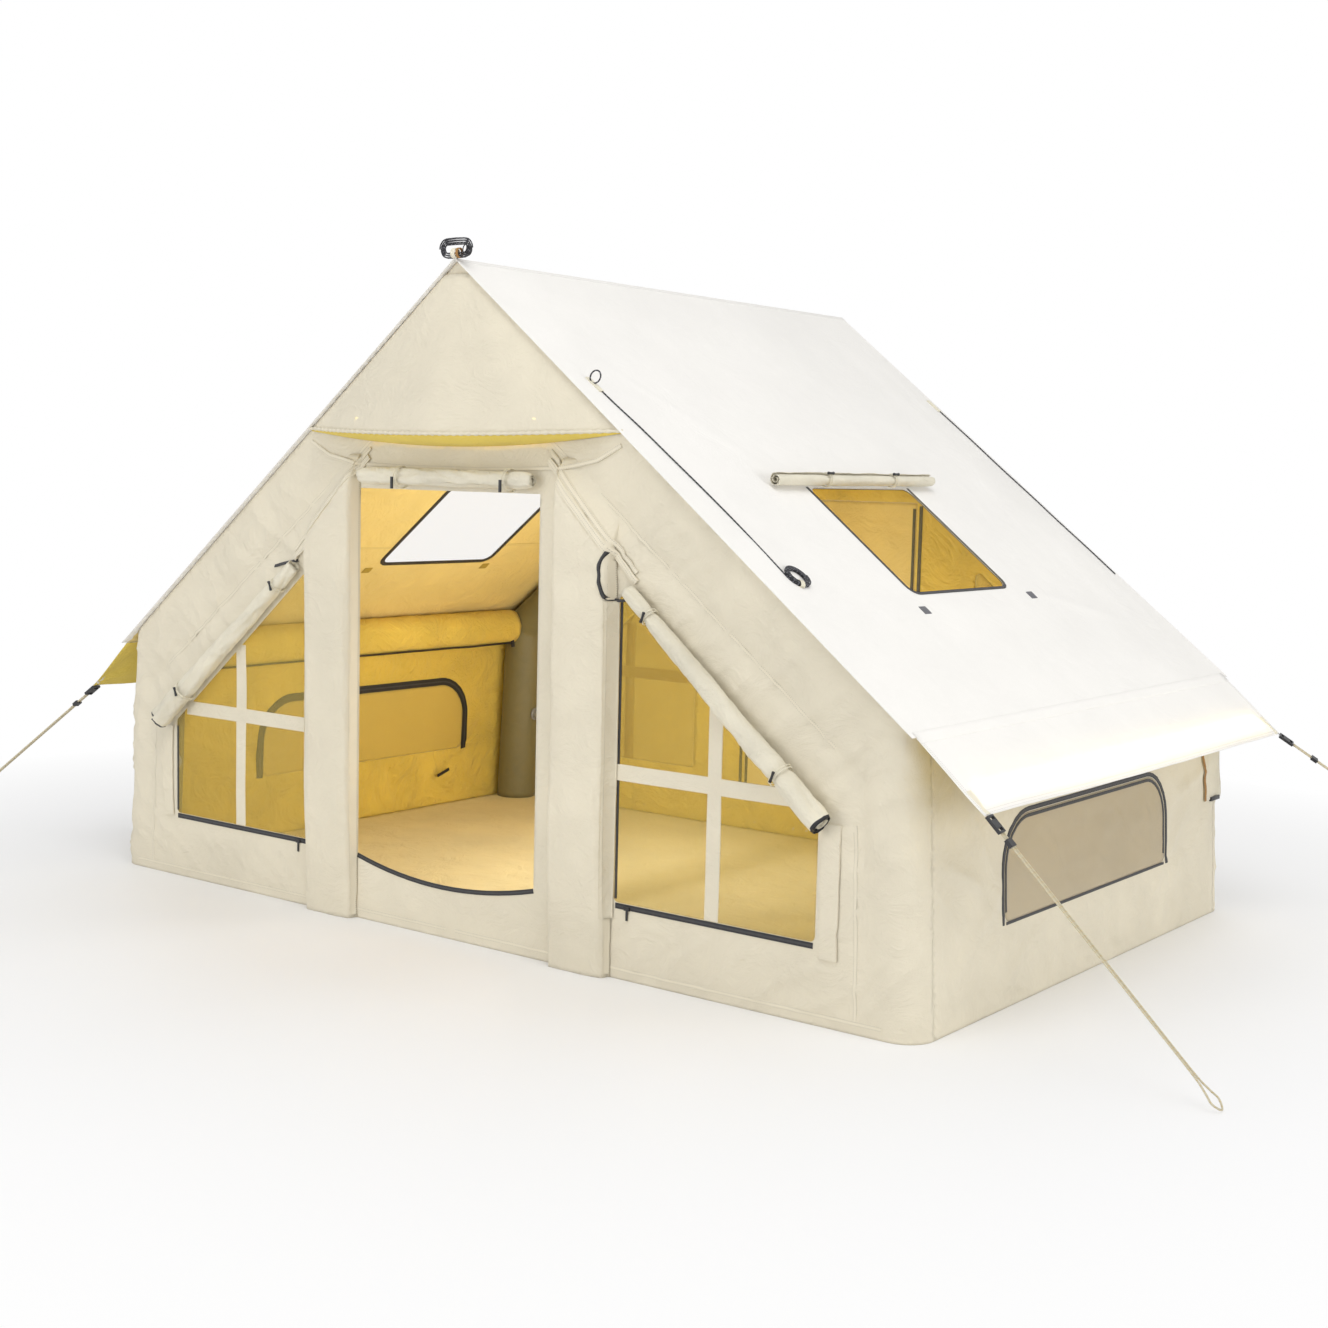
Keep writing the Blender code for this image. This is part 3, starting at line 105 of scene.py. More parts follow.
class TentSizes(bpy.types.PropertyGroup):
    """Sizes of the cloth and its trims."""

    cloth: FloatProperty(name="Cloth", description="Thickness of the canvas", default=0.0012, unit="LENGTH")
    spacing: FloatProperty(
        name="Spacing", description="Distance between the cloth's points", default=0.015, unit="LENGTH"
    )
    folds: FloatProperty(name="Folds", description="Height of the cloth's soft folds", default=0.0058, unit="LENGTH")
    seam: FloatProperty(name="Seam", description="Width of a stitched seam band", default=0.014, unit="LENGTH")
    zip: FloatProperty(name="Zip", description="Width of a zip's tape", default=0.016, unit="LENGTH")
    weave: FloatProperty(
        name="Weave", description="Distance between two threads of the canvas", default=0.0012, unit="LENGTH"
    )
    net: FloatProperty(name="Net", description="Distance between two holes of the net", default=0.0026, unit="LENGTH")
    stitch: FloatProperty(name="Stitch", description="Length of one stitch and its gap", default=0.006, unit="LENGTH")


def colour_property(label, text, value):
    return FloatVectorProperty(name=label, description=text, default=value, size=3, min=0, max=1, subtype="COLOR")


class TentColours(bpy.types.PropertyGroup):
    """Colours of the tent's finishes."""

    cream: colour_property("Cream", "Walls, hood and sleeves", (0.80, 0.735, 0.585))
    sunlit: colour_property("Roof", "Roof and awnings", (0.925, 0.905, 0.865))
    # The next three colours are painted light: the yellow glow of sunlight passing through the cream cloth, painted on
    # the cloth's inner faces and on the shaded undersides of the hood and awnings.
    lining: colour_property("Lining", "Inner faces of the roof", (0.89, 0.70, 0.27))
    inner: colour_property("Inner walls", "Inner faces of the walls and the beams' sleeves", (0.86, 0.63, 0.12))
    deep: colour_property("Shade", "Inner face of the hood and awnings", (0.88, 0.68, 0.13))
    rolled: colour_property("Rolled", "Rolled covers", (0.84, 0.785, 0.635))
    floor: colour_property("Floor", "Groundsheet", (0.84, 0.72, 0.41))
    net: colour_property("Net", "Window and skylight nets", (0.53, 0.40, 0.08))
    tube: colour_property("Tube", "Air tubes", (0.22, 0.195, 0.095))
    black: colour_property("Black", "Zips, webbing and fittings", (0.014, 0.014, 0.016))
    cord_dark: colour_property("Dark cord", "Stored cords", (0.016, 0.016, 0.022))
    cord_pale: colour_property("Pale cord", "Guy lines", (0.72, 0.65, 0.47))


def sizes():
    return bpy.context.scene.tent_sizes


def colours():
    return bpy.context.scene.tent_colours


# Finishes


def new_finish(name):
    made = bpy.data.materials.new(name)
    made.use_nodes = True
    tree = made.node_tree
    return made, tree, tree.nodes["Principled BSDF"]


def set_sockets(shader, **values):
    """Sets or joins a shader's sockets, named with underscores for spaces."""
    for key, value in values.items():
        set_socket(shader.id_data, shader.inputs[key.replace("_", " ")], value)


def set_socket(tree, socket, value):
    if isinstance(value, bpy.types.NodeSocket):
        tree.links.new(value, socket)
    else:
        socket.default_value = value


def node(tree, kind, operation=None, **values):
    """A node with its inputs set or joined; an input is named, or a letter and its number."""
    made = tree.nodes.new("ShaderNode" + kind)
    if operation is not None:
        made.operation = operation
    for key, value in values.items():
        set_socket(tree, made.inputs[int(key[1:]) if key[1:].isdigit() else key.replace("_", " ")], value)
    return made


def math_node(tree, operation, first, second=0.0):
    return node(tree, "Math", operation, i0=first, i1=second).outputs[0]


def mix_colour(tree, factor, first, second):
    made = tree.nodes.new("ShaderNodeMix")
    made.data_type = "RGBA"
    for socket, value in ((made.inputs[0], factor), (made.inputs[6], first), (made.inputs[7], second)):
        set_socket(tree, socket, (*value[:3], 1.0) if isinstance(value, tuple) else value)
    return made.outputs[2]


def uneven(tree, texture, share, colour, factor):
    """A colour that turns towards its own darker or lighter shade where a texture is high."""
    return mix_colour(tree, math_node(tree, "MULTIPLY", texture, share), colour, scaled(colour, factor))


def bumped(tree, height, strength, distance, **values):
    return node(tree, "Bump", Strength=strength, Distance=distance, Height=height, **values).outputs[0]


def band(tree, vector, axis, pitch):
    """Soft stripes of this pitch across one axis of a vector."""
    made = node(tree, "TexWave", Vector=vector, Scale=math.pi / (10 * pitch))
    made.bands_direction = axis
    return made.outputs["Fac"]


def cross_band(tree, vector, operation, pitch_x, pitch_y):
    return math_node(tree, operation, band(tree, vector, "X", pitch_x), band(tree, vector, "Y", pitch_y))


def scaled(colour, factor):
    return tuple(min(1.0, channel * factor) for channel in colour)


def canvas_finish(name, colour, shade=0.90, folds=0.35, rough=0.86, grime=False, pitch=None):
    """Woven canvas: crossed threads, faint creases, uneven dye and blotches that darken it towards the bottom."""
    made, tree, shader = new_finish(name)
    place = node(tree, "TexCoord")
    uv, spot = place.outputs["UV"], place.outputs["Object"]
    weave = pitch or sizes().weave
    threads = cross_band(tree, uv, "MAXIMUM", weave, weave)
    patches = node(tree, "TexNoise", Vector=spot, Scale=2.6, Detail=4.0, Roughness=0.55)
    fibres = node(tree, "TexNoise", Vector=uv, Scale=260.0, Detail=2.0)
    patch = node(tree, "MapRange", Value=patches.outputs["Fac"], i1=0.35, i2=0.72)
    tone = mix_colour(tree, patch.outputs[0], colour, scaled(colour, shade))
    tone = mix_colour(tree, math_node(tree, "MULTIPLY", fibres.outputs["Fac"], 0.10), tone, scaled(colour, 0.72))
    # Blotches darken the cloth towards the bottom.
    if grime:
        height = node(tree, "SeparateXYZ", Vector=spot).outputs[2]
        low = node(tree, "MapRange", Value=height, i1=0.0, i2=0.20, i3=0.22, i4=0.0)
        low_blotches = math_node(tree, "MULTIPLY", low.outputs[0], patches.outputs["Fac"])
        tone = mix_colour(tree, low_blotches, tone, (0.50, 0.44, 0.33))
    creases = node(tree, "TexNoise", Vector=spot, Scale=7.0, Detail=8.0, Roughness=0.66, Distortion=1.6)
    soft = bumped(tree, creases.outputs["Fac"], folds, 0.034)
    fine = bumped(tree, threads, 0.30, 0.0004, Normal=soft)
    set_sockets(
        shader, Base_Color=tone, Normal=fine, Roughness=rough, Sheen_Weight=0.12, Sheen_Roughness=0.5,
        Specular_IOR_Level=0.25,
    )
    return made


def across_band(tree, uv):
    """The distance from the middle of a band whose UV x runs across it."""
    return math_node(tree, "ABSOLUTE", node(tree, "SeparateXYZ", Vector=uv).outputs[0])


def seam_finish(name, colour):
    """A folded and sewn band: one row of stitches near each edge. UV x runs across it, in metres."""
    made, tree, shader = new_finish(name)
    uv = node(tree, "TexCoord").outputs["UV"]
    row = node(tree, "Math", "COMPARE", i0=across_band(tree, uv), i1=sizes().seam * 0.30, i2=0.0009).outputs[0]
    dash = math_node(tree, "GREATER_THAN", band(tree, uv, "Y", sizes().stitch), 0.35)
    stitches = math_node(tree, "MULTIPLY", row, dash)
    weave = cross_band(tree, uv, "MAXIMUM", sizes().weave, sizes().weave)
    patches = node(tree, "TexNoise", Vector=uv, Scale=30.0, Detail=3.0)
    tone = uneven(tree, patches.outputs["Fac"], 0.25, colour, 0.80)
    tone = mix_colour(tree, math_node(tree, "MULTIPLY", stitches, 0.55), tone, scaled(colour, 0.55))
    height = math_node(tree, "ADD", math_node(tree, "MULTIPLY", weave, 0.3), stitches)
    bump = bumped(tree, height, 0.6, 0.0006)
    set_sockets(shader, Base_Color=tone, Normal=bump, Roughness=0.88, Sheen_Weight=0.1)
    return made


def zip_finish(name, colour):
    """A zip: two woven tapes with a row of fine teeth in the middle. UV x runs across it, in metres."""
    made, tree, shader = new_finish(name)
    uv = node(tree, "TexCoord").outputs["UV"]
    middle = math_node(tree, "LESS_THAN", across_band(tree, uv), 0.0028)
    teeth = math_node(tree, "MULTIPLY", middle, band(tree, uv, "Y", 0.0026))
    tape = cross_band(tree, uv, "MAXIMUM", 0.0009, 0.0009)
    tone = mix_colour(tree, teeth, colour, (0.085, 0.085, 0.09))
    tone = mix_colour(tree, math_node(tree, "MULTIPLY", tape, 0.35), tone, scaled(colour, 2.6))
    height = math_node(tree, "ADD", teeth, math_node(tree, "MULTIPLY", tape, 0.2))
    set_sockets(shader, Base_Color=tone, Normal=bumped(tree, height, 0.8, 0.0010), Roughness=0.55)
    return made


def net_finish(name, colour, low, high):
    """A knitted net whose holes let the view through: alpha goes from low in a hole to high on the yarn."""
    made, tree, shader = new_finish(name)
    place = node(tree, "TexCoord")
    holes = cross_band(tree, place.outputs["UV"], "MULTIPLY", sizes().net, sizes().net)
    alpha = node(tree, "MapRange", Value=holes, i1=0.0, i2=0.6, i3=high, i4=low)
    cloudy = node(tree, "TexNoise", Vector=place.outputs["Object"], Scale=5.0, Detail=4.0)
    tone = uneven(tree, cloudy.outputs["Fac"], 0.5, colour, 0.72)
    bump = bumped(tree, holes, 0.4, 0.0006)
    set_sockets(shader, Alpha=alpha.outputs[0], Base_Color=tone, Normal=bump, Roughness=0.75, Sheen_Weight=0.2)
    return made


def cord_finish(name, colour, fleck, share):
    """A braided cord: crossed strands with a tracer yarn. UV x runs round it and UV y along it, in metres."""
    made, tree, shader = new_finish(name)
    uv = node(tree, "TexCoord").outputs["UV"]
    lean, back = (
        node(tree, "Mapping", Vector=uv, Rotation=(0.0, 0.0, math.radians(angle))).outputs[0] for angle in (38, -38)
    )
    braid = math_node(tree, "MAXIMUM", band(tree, lean, "X", 0.0022), band(tree, back, "X", 0.0022))
    tracer = math_node(tree, "GREATER_THAN", band(tree, lean, "Y", 0.011), 1.0 - share)
    # Painted shade: the cord is darker in the grooves between its strands.
    tone = mix_colour(tree, braid, scaled(colour, 0.6), colour)
    tone = mix_colour(tree, math_node(tree, "MULTIPLY", tracer, 0.8), tone, fleck)
    bump = bumped(tree, braid, 0.7, 0.0008)
    set_sockets(shader, Base_Color=tone, Normal=bump, Roughness=0.7, Sheen_Weight=0.15)
    return made


def webbing_finish(name, colour):
    """Ribbed webbing. UV x runs across it and UV y along it, in metres."""
    made, tree, shader = new_finish(name)
    place = node(tree, "TexCoord")
    ribs = cross_band(tree, place.outputs["UV"], "MULTIPLY", 0.0024, 0.0016)
    worn = node(tree, "TexNoise", Vector=place.outputs["Object"], Scale=60.0, Detail=3.0)
    tone = uneven(tree, worn.outputs["Fac"], 0.5, colour, 1.5)
    set_sockets(shader, Base_Color=tone, Normal=bumped(tree, ribs, 0.6, 0.0006), Roughness=0.75)
    return made


def plastic_finish(name, colour, rough=0.42):
    """Moulded plastic with a fine spark-eroded grain and rubbed patches."""
    made, tree, shader = new_finish(name)
    place = node(tree, "TexCoord").outputs["Object"]
    grain = node(tree, "TexNoise", Vector=place, Scale=900.0, Detail=2.0)
    rubbed = node(tree, "TexNoise", Vector=place, Scale=70.0, Detail=3.0).outputs["Fac"]
    tone = uneven(tree, rubbed, 0.4, colour, 1.9)
    gloss = node(tree, "MapRange", Value=rubbed, i3=rough + 0.14, i4=rough - 0.10)
    bump = bumped(tree, grain.outputs["Fac"], 0.35, 0.0003)
    set_sockets(shader, Base_Color=tone, Roughness=gloss.outputs[0], Normal=bump)
    return made


def tube_finish(name, colour):
    """Coated air-tube cloth: a satin face, pressed creases across the tube and a fine weave."""
    made, tree, shader = new_finish(name)
    place = node(tree, "TexCoord")
    weave = cross_band(tree, place.outputs["UV"], "MAXIMUM", 0.0010, 0.0010)
    creases = node(tree, "TexNoise", Vector=place.outputs["Object"], Scale=16.0, Detail=6.0, Distortion=1.2)
    tone = uneven(tree, creases.outputs["Fac"], 0.6, colour, 0.7)
    soft = bumped(tree, creases.outputs["Fac"], 0.45, 0.006)
    fine = bumped(tree, weave, 0.3, 0.0003, Normal=soft)
    set_sockets(shader, Base_Color=tone, Normal=fine, Roughness=0.55, Sheen_Weight=0.1)
    return made


BOTH_SIDES = (("right", 1), ("left", -1))
FINE_STEP = 0.012  # between the points of a narrow tape
NET_CLOTH = 0.0005
FINISHES = {}


def finish(name):
    """The finish of this name, made once."""
    if name not in FINISHES:
        c = colours()
        maker, colour, options = {
            "canvas_cream": (canvas_finish, c.cream, dict(folds=0.42, grime=True)),
            "canvas_roof": (canvas_finish, c.sunlit, dict(shade=0.955, folds=0.18)),
            # These three finishes are painted light: the yellow glow of sunlight through the cream cloth, on the inner
            # faces and the shaded undersides.
            "canvas_lining": (canvas_finish, c.lining, dict(shade=0.86, folds=0.5)),
            "canvas_inner": (canvas_finish, c.inner, dict(shade=0.80, folds=0.8)),
            "canvas_shade": (canvas_finish, c.deep, dict(shade=0.88, folds=0.4)),
            "canvas_rolled": (canvas_finish, c.rolled, dict(shade=0.86, folds=0.6)),
            "canvas_floor": (canvas_finish, c.floor, dict(shade=0.86, folds=0.5, rough=0.7, pitch=0.0016)),
            "seam_cream": (seam_finish, scaled(c.cream, 0.97), {}),
            "seam_roof": (seam_finish, scaled(c.sunlit, 0.96), {}),
            # The seam on the roof's inner face is painted with the same yellow glow.
            "seam_lining": (seam_finish, scaled(c.lining, 0.9), {}),
            # Painted shade: the back windows' crosses, lit from behind, darkened to a dusky brown.
            "seam_dusk": (seam_finish, (0.42, 0.27, 0.045), {}),
            "zip_black": (zip_finish, c.black, {}),
            "net_window": (net_finish, c.net, dict(low=0.08, high=0.36)),
            # The right side net is greyed and nearly opaque: partly its own colour, partly painted shade for the darker
            # inside seen through it.
            "net_side": (net_finish, (0.62, 0.54, 0.39), dict(low=0.42, high=0.85)),
            # Painted light: the nets seen from inside take the yellow glow of sunlight through the cloth.
            "net_inner": (net_finish, (0.86, 0.64, 0.15), dict(low=0.35, high=0.80)),
            "net_sky": (net_finish, scaled(c.net, 0.9), dict(low=0.01, high=0.11)),
            "cord_dark": (cord_finish, c.cord_dark, dict(fleck=(0.30, 0.30, 0.34), share=0.06)),
            "cord_pale": (cord_finish, c.cord_pale, dict(fleck=(0.62, 0.47, 0.22), share=0.10)),
            "webbing_cream": (webbing_finish, scaled(c.cream, 0.95), {}),
            "webbing_black": (webbing_finish, c.black, {}),
            "webbing_brown": (webbing_finish, (0.33, 0.17, 0.05), {}),
            # The patches inside the roof are dark patches painted with the yellow inside glow.
            "patch_olive": (webbing_finish, (0.36, 0.25, 0.04), {}),
            "patch_grey": (webbing_finish, (0.13, 0.13, 0.14), {}),
            "plastic_black": (plastic_finish, c.black, {}),
            "plastic_grey": (plastic_finish, (0.26, 0.27, 0.28), dict(rough=0.5)),
            "tube_grey": (tube_finish, c.tube, {}),
        }[name]
        FINISHES[name] = maker(name, tuple(colour), **options)
    return FINISHES[name]


# Surfaces: each gives points in metres for arrays of u, v and a height off the cloth


def roof_surface(side):
    """u runs along the ridge and v down the slope."""
    def at(u, v, lift):
        x = side * (v * math.cos(SLOPE) + lift * math.sin(SLOPE))
        return np.stack([x, u, RIDGE - v * math.sin(SLOPE) + lift * math.cos(SLOPE)], 1)
    return at


def wall_surface(side):
    """u runs along the wall and v up it."""
    def at(u, v, lift):
        x = side * (HALF_W - v * math.sin(TILT) + lift * math.cos(TILT))
        return np.stack([x, u, v * math.cos(TILT) + lift * math.sin(TILT)], 1)
    return at


def gable_surface(side):
    """u runs across the wall and round its two corner columns, and v is the height."""
    def at(u, v, lift):
        flat = HALF_W - CORNER - v * math.tan(TILT)
        turn = math.pi / 2 - np.clip(np.abs(u) - flat, 0, None) / CORNER
        x = np.sign(u) * (np.minimum(np.abs(u), flat) + (CORNER + lift) * np.cos(turn))
        y = side * (HALF_D - CORNER + (CORNER + lift) * np.sin(turn))
        return np.stack([x, y, v + 0 * u], 1)
    return at


def awning_surface(side):
    """u runs along the eave and v down the awning from its seam."""
    seam = roof_surface(side)(np.zeros(1), np.array([ROOF_LENGTH]), np.array([-0.001]))[0]
    def at(u, v, lift):
        x = seam[0] + side * (v * math.cos(AWNING_PITCH) + lift * math.sin(AWNING_PITCH))
        return np.stack([x, u, seam[2] - v * math.sin(AWNING_PITCH) + lift * math.cos(AWNING_PITCH)], 1)
    return at


def floor_surface(u, v, lift):
    return np.stack([u, v, lift], 1)


def rounded(points, radii, steps=6):
    """An outline whose corners are arcs."""
    made = []
    for index, (point, radius) in enumerate(zip(points, radii)):
        corner = np.array(point, float)
        if radius == 0:
            made.append(corner)
            continue
        back = np.array(points[index - 1], float) - corner
        ahead = np.array(points[(index + 1) % len(points)], float) - corner
        back, ahead = back / np.linalg.norm(back), ahead / np.linalg.norm(ahead)
        half = math.acos(np.clip(back @ ahead, -1, 1)) / 2
        reach = radius / math.tan(half)
        middle = (back + ahead) / np.linalg.norm(back + ahead) * (radius / math.sin(half))
        for step in range(steps + 1):
            share = step / steps
            spot = (back * reach - middle) * (1 - share) + (ahead * reach - middle) * share
            made.append(corner + middle + spot / np.linalg.norm(spot) * radius)
    return [tuple(point) for point in made]


def spaced(points, step, closed=False):
    """The same line with its corners kept and points no further apart than the step."""
    made = []
    count = len(points) if closed else len(points) - 1
    for index in range(count):
        a, b = np.array(points[index], float), np.array(points[(index + 1) % len(points)], float)
        parts = max(1, int(math.ceil(np.linalg.norm(b - a) / step)))
        made += [tuple(a + (b - a) * k / parts) for k in range(parts)]
    if not closed:
        made.append(tuple(points[-1]))
    return made


def edge_distance(u, v, loops):
    """The distance from each point to the nearest side of the loops."""
    best = np.full(len(u), 1e9)
    for loop in loops:
        line = np.array(loop, float)
        for a, b in zip(line, np.roll(line, -1, axis=0)):
            along = b - a
            t = np.clip(((u - a[0]) * along[0] + (v - a[1]) * along[1]) / max(along @ along, 1e-12), 0, 1)
            best = np.minimum(best, np.hypot(u - a[0] - t * along[0], v - a[1] - t * along[1]))
    return best


def inside(u, v, loop):
    made = np.zeros(len(u), bool)
    line = np.array(loop, float)
    for a, b in zip(line, np.roll(line, -1, axis=0)):
        crosses = (a[1] > v) != (b[1] > v)
        at = a[0] + (v - a[1]) * (b[0] - a[0]) / np.where(abs(b[1] - a[1]) < 1e-12, 1e-12, b[1] - a[1])
        made ^= crosses & (u < at)
    return made


def plane_mesh(outline, holes, spacing):
    """Points and triangles of a flat outline with holes, filled with evenly spaced points."""
    loops = [spaced(loop, spacing, True) for loop in [outline, *holes]]
    points, edges = [], []
    for loop in loops:
        first = len(points)
        points += loop
        edges += [(first + k, first + (k + 1) % len(loop)) for k in range(len(loop))]
    low, high = np.min(outline, axis=0), np.max(outline, axis=0)
    rows = np.arange(low[1] + spacing / 2, high[1], spacing * 0.87)
    inner = []
    for number, v in enumerate(rows):
        us = np.arange(low[0] + spacing * (0.5 if number % 2 else 0.25), high[0], spacing)
        inner.append(np.stack([us, np.full(len(us), v)], 1))
    inner = np.concatenate(inner)
    keep = inside(inner[:, 0], inner[:, 1], outline)
    for hole in holes:
        keep &= ~inside(inner[:, 0], inner[:, 1], hole)
    inner = inner[keep]
    inner = inner[edge_distance(inner[:, 0], inner[:, 1], [outline, *holes]) > spacing * 0.45]
    every = [Vector(point) for point in points] + [Vector(point) for point in inner]
    made = delaunay_2d_cdt(every, edges, [], 0, 1e-7)
    spots = np.array([tuple(point) for point in made[0]])
    faces = np.array([tuple(face) for face in made[2]])
    middle = spots[faces].mean(axis=1)
    good = inside(middle[:, 0], middle[:, 1], outline)
    for hole in holes:
        good &= ~inside(middle[:, 0], middle[:, 1], hole)
    return spots, faces[good]


# Folds


def ripple(u, v, pitch_u, pitch_v, seed, octaves=3):
    """Smooth uneven folds between -1 and 1, longer along one way than the other."""
    spots = zip(u / pitch_u, v / pitch_v)
    return np.array([noise.fractal(Vector((a, b, seed)), 1.0, 2.0, octaves) for a, b in spots])


def crease(u, v, pitch_u, pitch_v, seed, lean=0.0):
    """Narrow uneven creases, 0 to 1, that run along v, or lean over from it by this angle."""
    a = u * math.cos(lean) + v * math.sin(lean)
    b = v * math.cos(lean) - u * math.sin(lean)
    made = 1 - np.abs(ripple(a + 0.04 * ripple(u, v, 0.3, 0.3, seed + 40, 2), b, pitch_u, pitch_v, seed, 2)) * 2.2
    return np.clip(made, 0, 1) ** 5


def fan(u, v, at, count, reach, phase):
    """Folds that run out from a point that pulls on the cloth."""
    du, dv = u - at[0], v - at[1]
    far = np.hypot(du, dv)
    wave = np.cos(np.arctan2(dv, du) * count + phase + 3.0 * far)
    return wave * np.exp(-(far / reach) ** 2) * far / (far + 0.04)


def pull(u, v, start, end, width):
    """One fold along a line, highest in its middle."""
    a, b = np.array(start, float), np.array(end, float)
    along = b - a
    t = ((u - a[0]) * along[0] + (v - a[1]) * along[1]) / (along @ along)
    off = np.abs((u - a[0]) * along[1] - (v - a[1]) * along[0]) / np.linalg.norm(along)
    return np.exp(-(off / width) ** 2) * np.clip(np.sin(np.clip(t, 0, 1) * math.pi), 0, 1)


def rise(value, low, high):
    t = np.clip((value - low) / (high - low), 0, 1)
    return t * t * (3 - 2 * t)


# Meshes


def activate(piece):
    bpy.ops.object.select_all(action="DESELECT")
    piece.select_set(True)
    bpy.context.view_layer.objects.active = piece


def make_piece(name, points, faces, uvs, finishes):
    """A mesh object in place, its corners' UV in metres."""
    mesh = bpy.data.meshes.new(name)
    mesh.from_pydata([tuple(point) for point in points], [], [tuple(face) for face in faces])
    layer = mesh.uv_layers.new(name="cloth")
    corners = np.zeros(len(mesh.loops), int)
    mesh.loops.foreach_get("vertex_index", corners)
    layer.data.foreach_set("uv", np.array(uvs, np.float32)[corners].ravel())
    made = bpy.data.objects.new(name, mesh)
    bpy.context.scene.collection.objects.link(made)
    for each in finishes:
        mesh.materials.append(finish(each))
    mesh.shade_smooth()
    return made


def thicken(piece, thickness, lined=False):
    """Gives a cloth its thickness on its inner side, with the second finish on that side."""
    activate(piece)
    solid = piece.modifiers.new("thickness", "SOLIDIFY")
    solid.thickness = thickness
    solid.offset = -1.0
    solid.use_even_offset = False
    if lined:
        solid.material_offset = 1
    bpy.ops.object.modifier_apply(modifier=solid.name)


def stand_for(piece, name, body="tent"):
    """The piece takes the place of the frame's node, which it hides, and moves with its body."""
    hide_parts(name)
    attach(piece, body)


def close_shell(piece, angle):
    """Turns a closed shell's faces outwards and shades it smooth up to an angle in degrees."""
    activate(piece)
    bpy.ops.object.mode_set(mode="EDIT")
    bpy.ops.mesh.select_all(action="SELECT")
    bpy.ops.mesh.normals_make_consistent(inside=False)
    bpy.ops.object.mode_set(mode="OBJECT")
    bpy.ops.object.shade_smooth_by_angle(angle=math.radians(angle))
    return piece


def length_along(path):
    """The distance from a path's start to each of its points."""
    return np.concatenate([[0], np.cumsum(np.linalg.norm(np.diff(path, axis=0), axis=1))])


def ring_faces(rings, sides):
    """The faces between a tube's rings, and its two ends."""
    faces = []
    for j in range(rings - 1):
        for k in range(sides):
            a, b = j * sides + k, j * sides + (k + 1) % sides
            faces.append((a, b, b + sides, a + sides))
    return faces + [tuple(range(sides))[::-1], tuple((rings - 1) * sides + k for k in range(sides))]


def circle(middle, first, second, count=25, start=0.0, end=2 * math.pi):
    """Points round a middle, from a first half-axis towards a second."""
    return [middle + first * math.cos(t) + second * math.sin(t) for t in np.linspace(start, end, count)]


def slope_out(side):
    """The direction square to the roof's slope, away from it."""
    return Vector((side * math.sin(SLOPE), 0, math.cos(SLOPE)))


def outward(surface, spots, faces, lift):
    """Turns the triangles so that they face the way that the surface's height grows."""
    a, b, c = (surface(spots[faces[:, k], 0], spots[faces[:, k], 1], lift[faces[:, k]]) for k in range(3))
    up = surface(spots[faces[:, 0], 0], spots[faces[:, 0], 1], lift[faces[:, 0]] + 0.01) - a
    wrong = (np.cross(b - a, c - a) * up).sum(axis=1) < 0
    faces = faces.copy()
    faces[wrong] = faces[wrong][:, ::-1]
    return faces


class Sheet:
    """A cloth on a surface: its outline, holes and folds, and what is sewn on it."""

    def __init__(self, surface, outline, holes=(), relief=None):
        self.surface, self.outline, self.holes = surface, outline, list(holes)
        self.relief = relief or (lambda u, v, d: 0 * u)

    def at(self, u, v, lift=0.0):
        u, v = np.atleast_1d(np.asarray(u, float)), np.atleast_1d(np.asarray(v, float))
        near = edge_distance(u, v, [self.outline, *self.holes])
        return self.surface(u, v, self.relief(u, v, near) + lift)

    def build(self, name, finishes, thickness, spacing=None):
        spots, faces = plane_mesh(self.outline, self.holes, spacing or sizes().spacing)
        near = edge_distance(spots[:, 0], spots[:, 1], [self.outline, *self.holes])
        lift = self.relief(spots[:, 0], spots[:, 1], near)
        faces = outward(self.surface, spots, faces, lift)
        made = make_piece(name, self.surface(spots[:, 0], spots[:, 1], lift), faces, spots, finishes)
        thicken(made, thickness, lined=len(finishes) > 1)
        return made

    def area(self):
        def flat(loop):
            line = np.array(loop)
            return abs(np.sum(line[:, 0] * np.roll(line[:, 1], -1) - line[:, 1] * np.roll(line[:, 0], -1))) / 2
        return flat(self.outline) - sum(flat(hole) for hole in self.holes)


def strips(name, jobs, finish_name, step=0.02):
    """Sewn bands along lines on sheets: each job is a sheet, a line, a width, a height and, for a loop, True."""
    points, faces, uvs = [], [], []
    for sheet, line, width, height, *loop in jobs:
        closed = bool(loop)
        path = np.array(spaced(line, step, closed))
        ahead = np.roll(path, -1, axis=0) - np.roll(path, 1, axis=0)
        if not closed:
            ahead[0], ahead[-1] = path[1] - path[0], path[-1] - path[-2]
        ahead /= np.linalg.norm(ahead, axis=1)[:, None]
        side = np.stack([-ahead[:, 1], ahead[:, 0]], 1)
        gone = length_along(path)
        half = width / 2
        base = -0.0003 if height > 0 else -0.0018
        section = [(-half, base), (-half * 0.96, height), (0, height * 1.2), (half * 0.96, height), (half, base)]
        rows = []
        for offset, lift in section:
            spot = path + side * offset
            rows.append(sheet.at(spot[:, 0], spot[:, 1], lift))
        first = len(points)
        count = len(path)
        for row, (offset, lift) in zip(rows, section):
            points += [tuple(p) for p in row]
            uvs += [(offset, g) for g in gone]
        for k in range(len(section)):
            for j in range(count if closed else count - 1):
                nxt = (j + 1) % count
                low, high = first + k * count, first + (k + 1) % len(section) * count
                faces.append((low + j, low + nxt, high + nxt, high + j))
        if not closed:
            ends = [first + k * count for k in range(len(section))]
            faces.append(tuple(ends))
            faces.append(tuple(e + count - 1 for e in ends[::-1]))
    return close_shell(make_piece(name, points, faces, uvs, [finish_name]), 50)


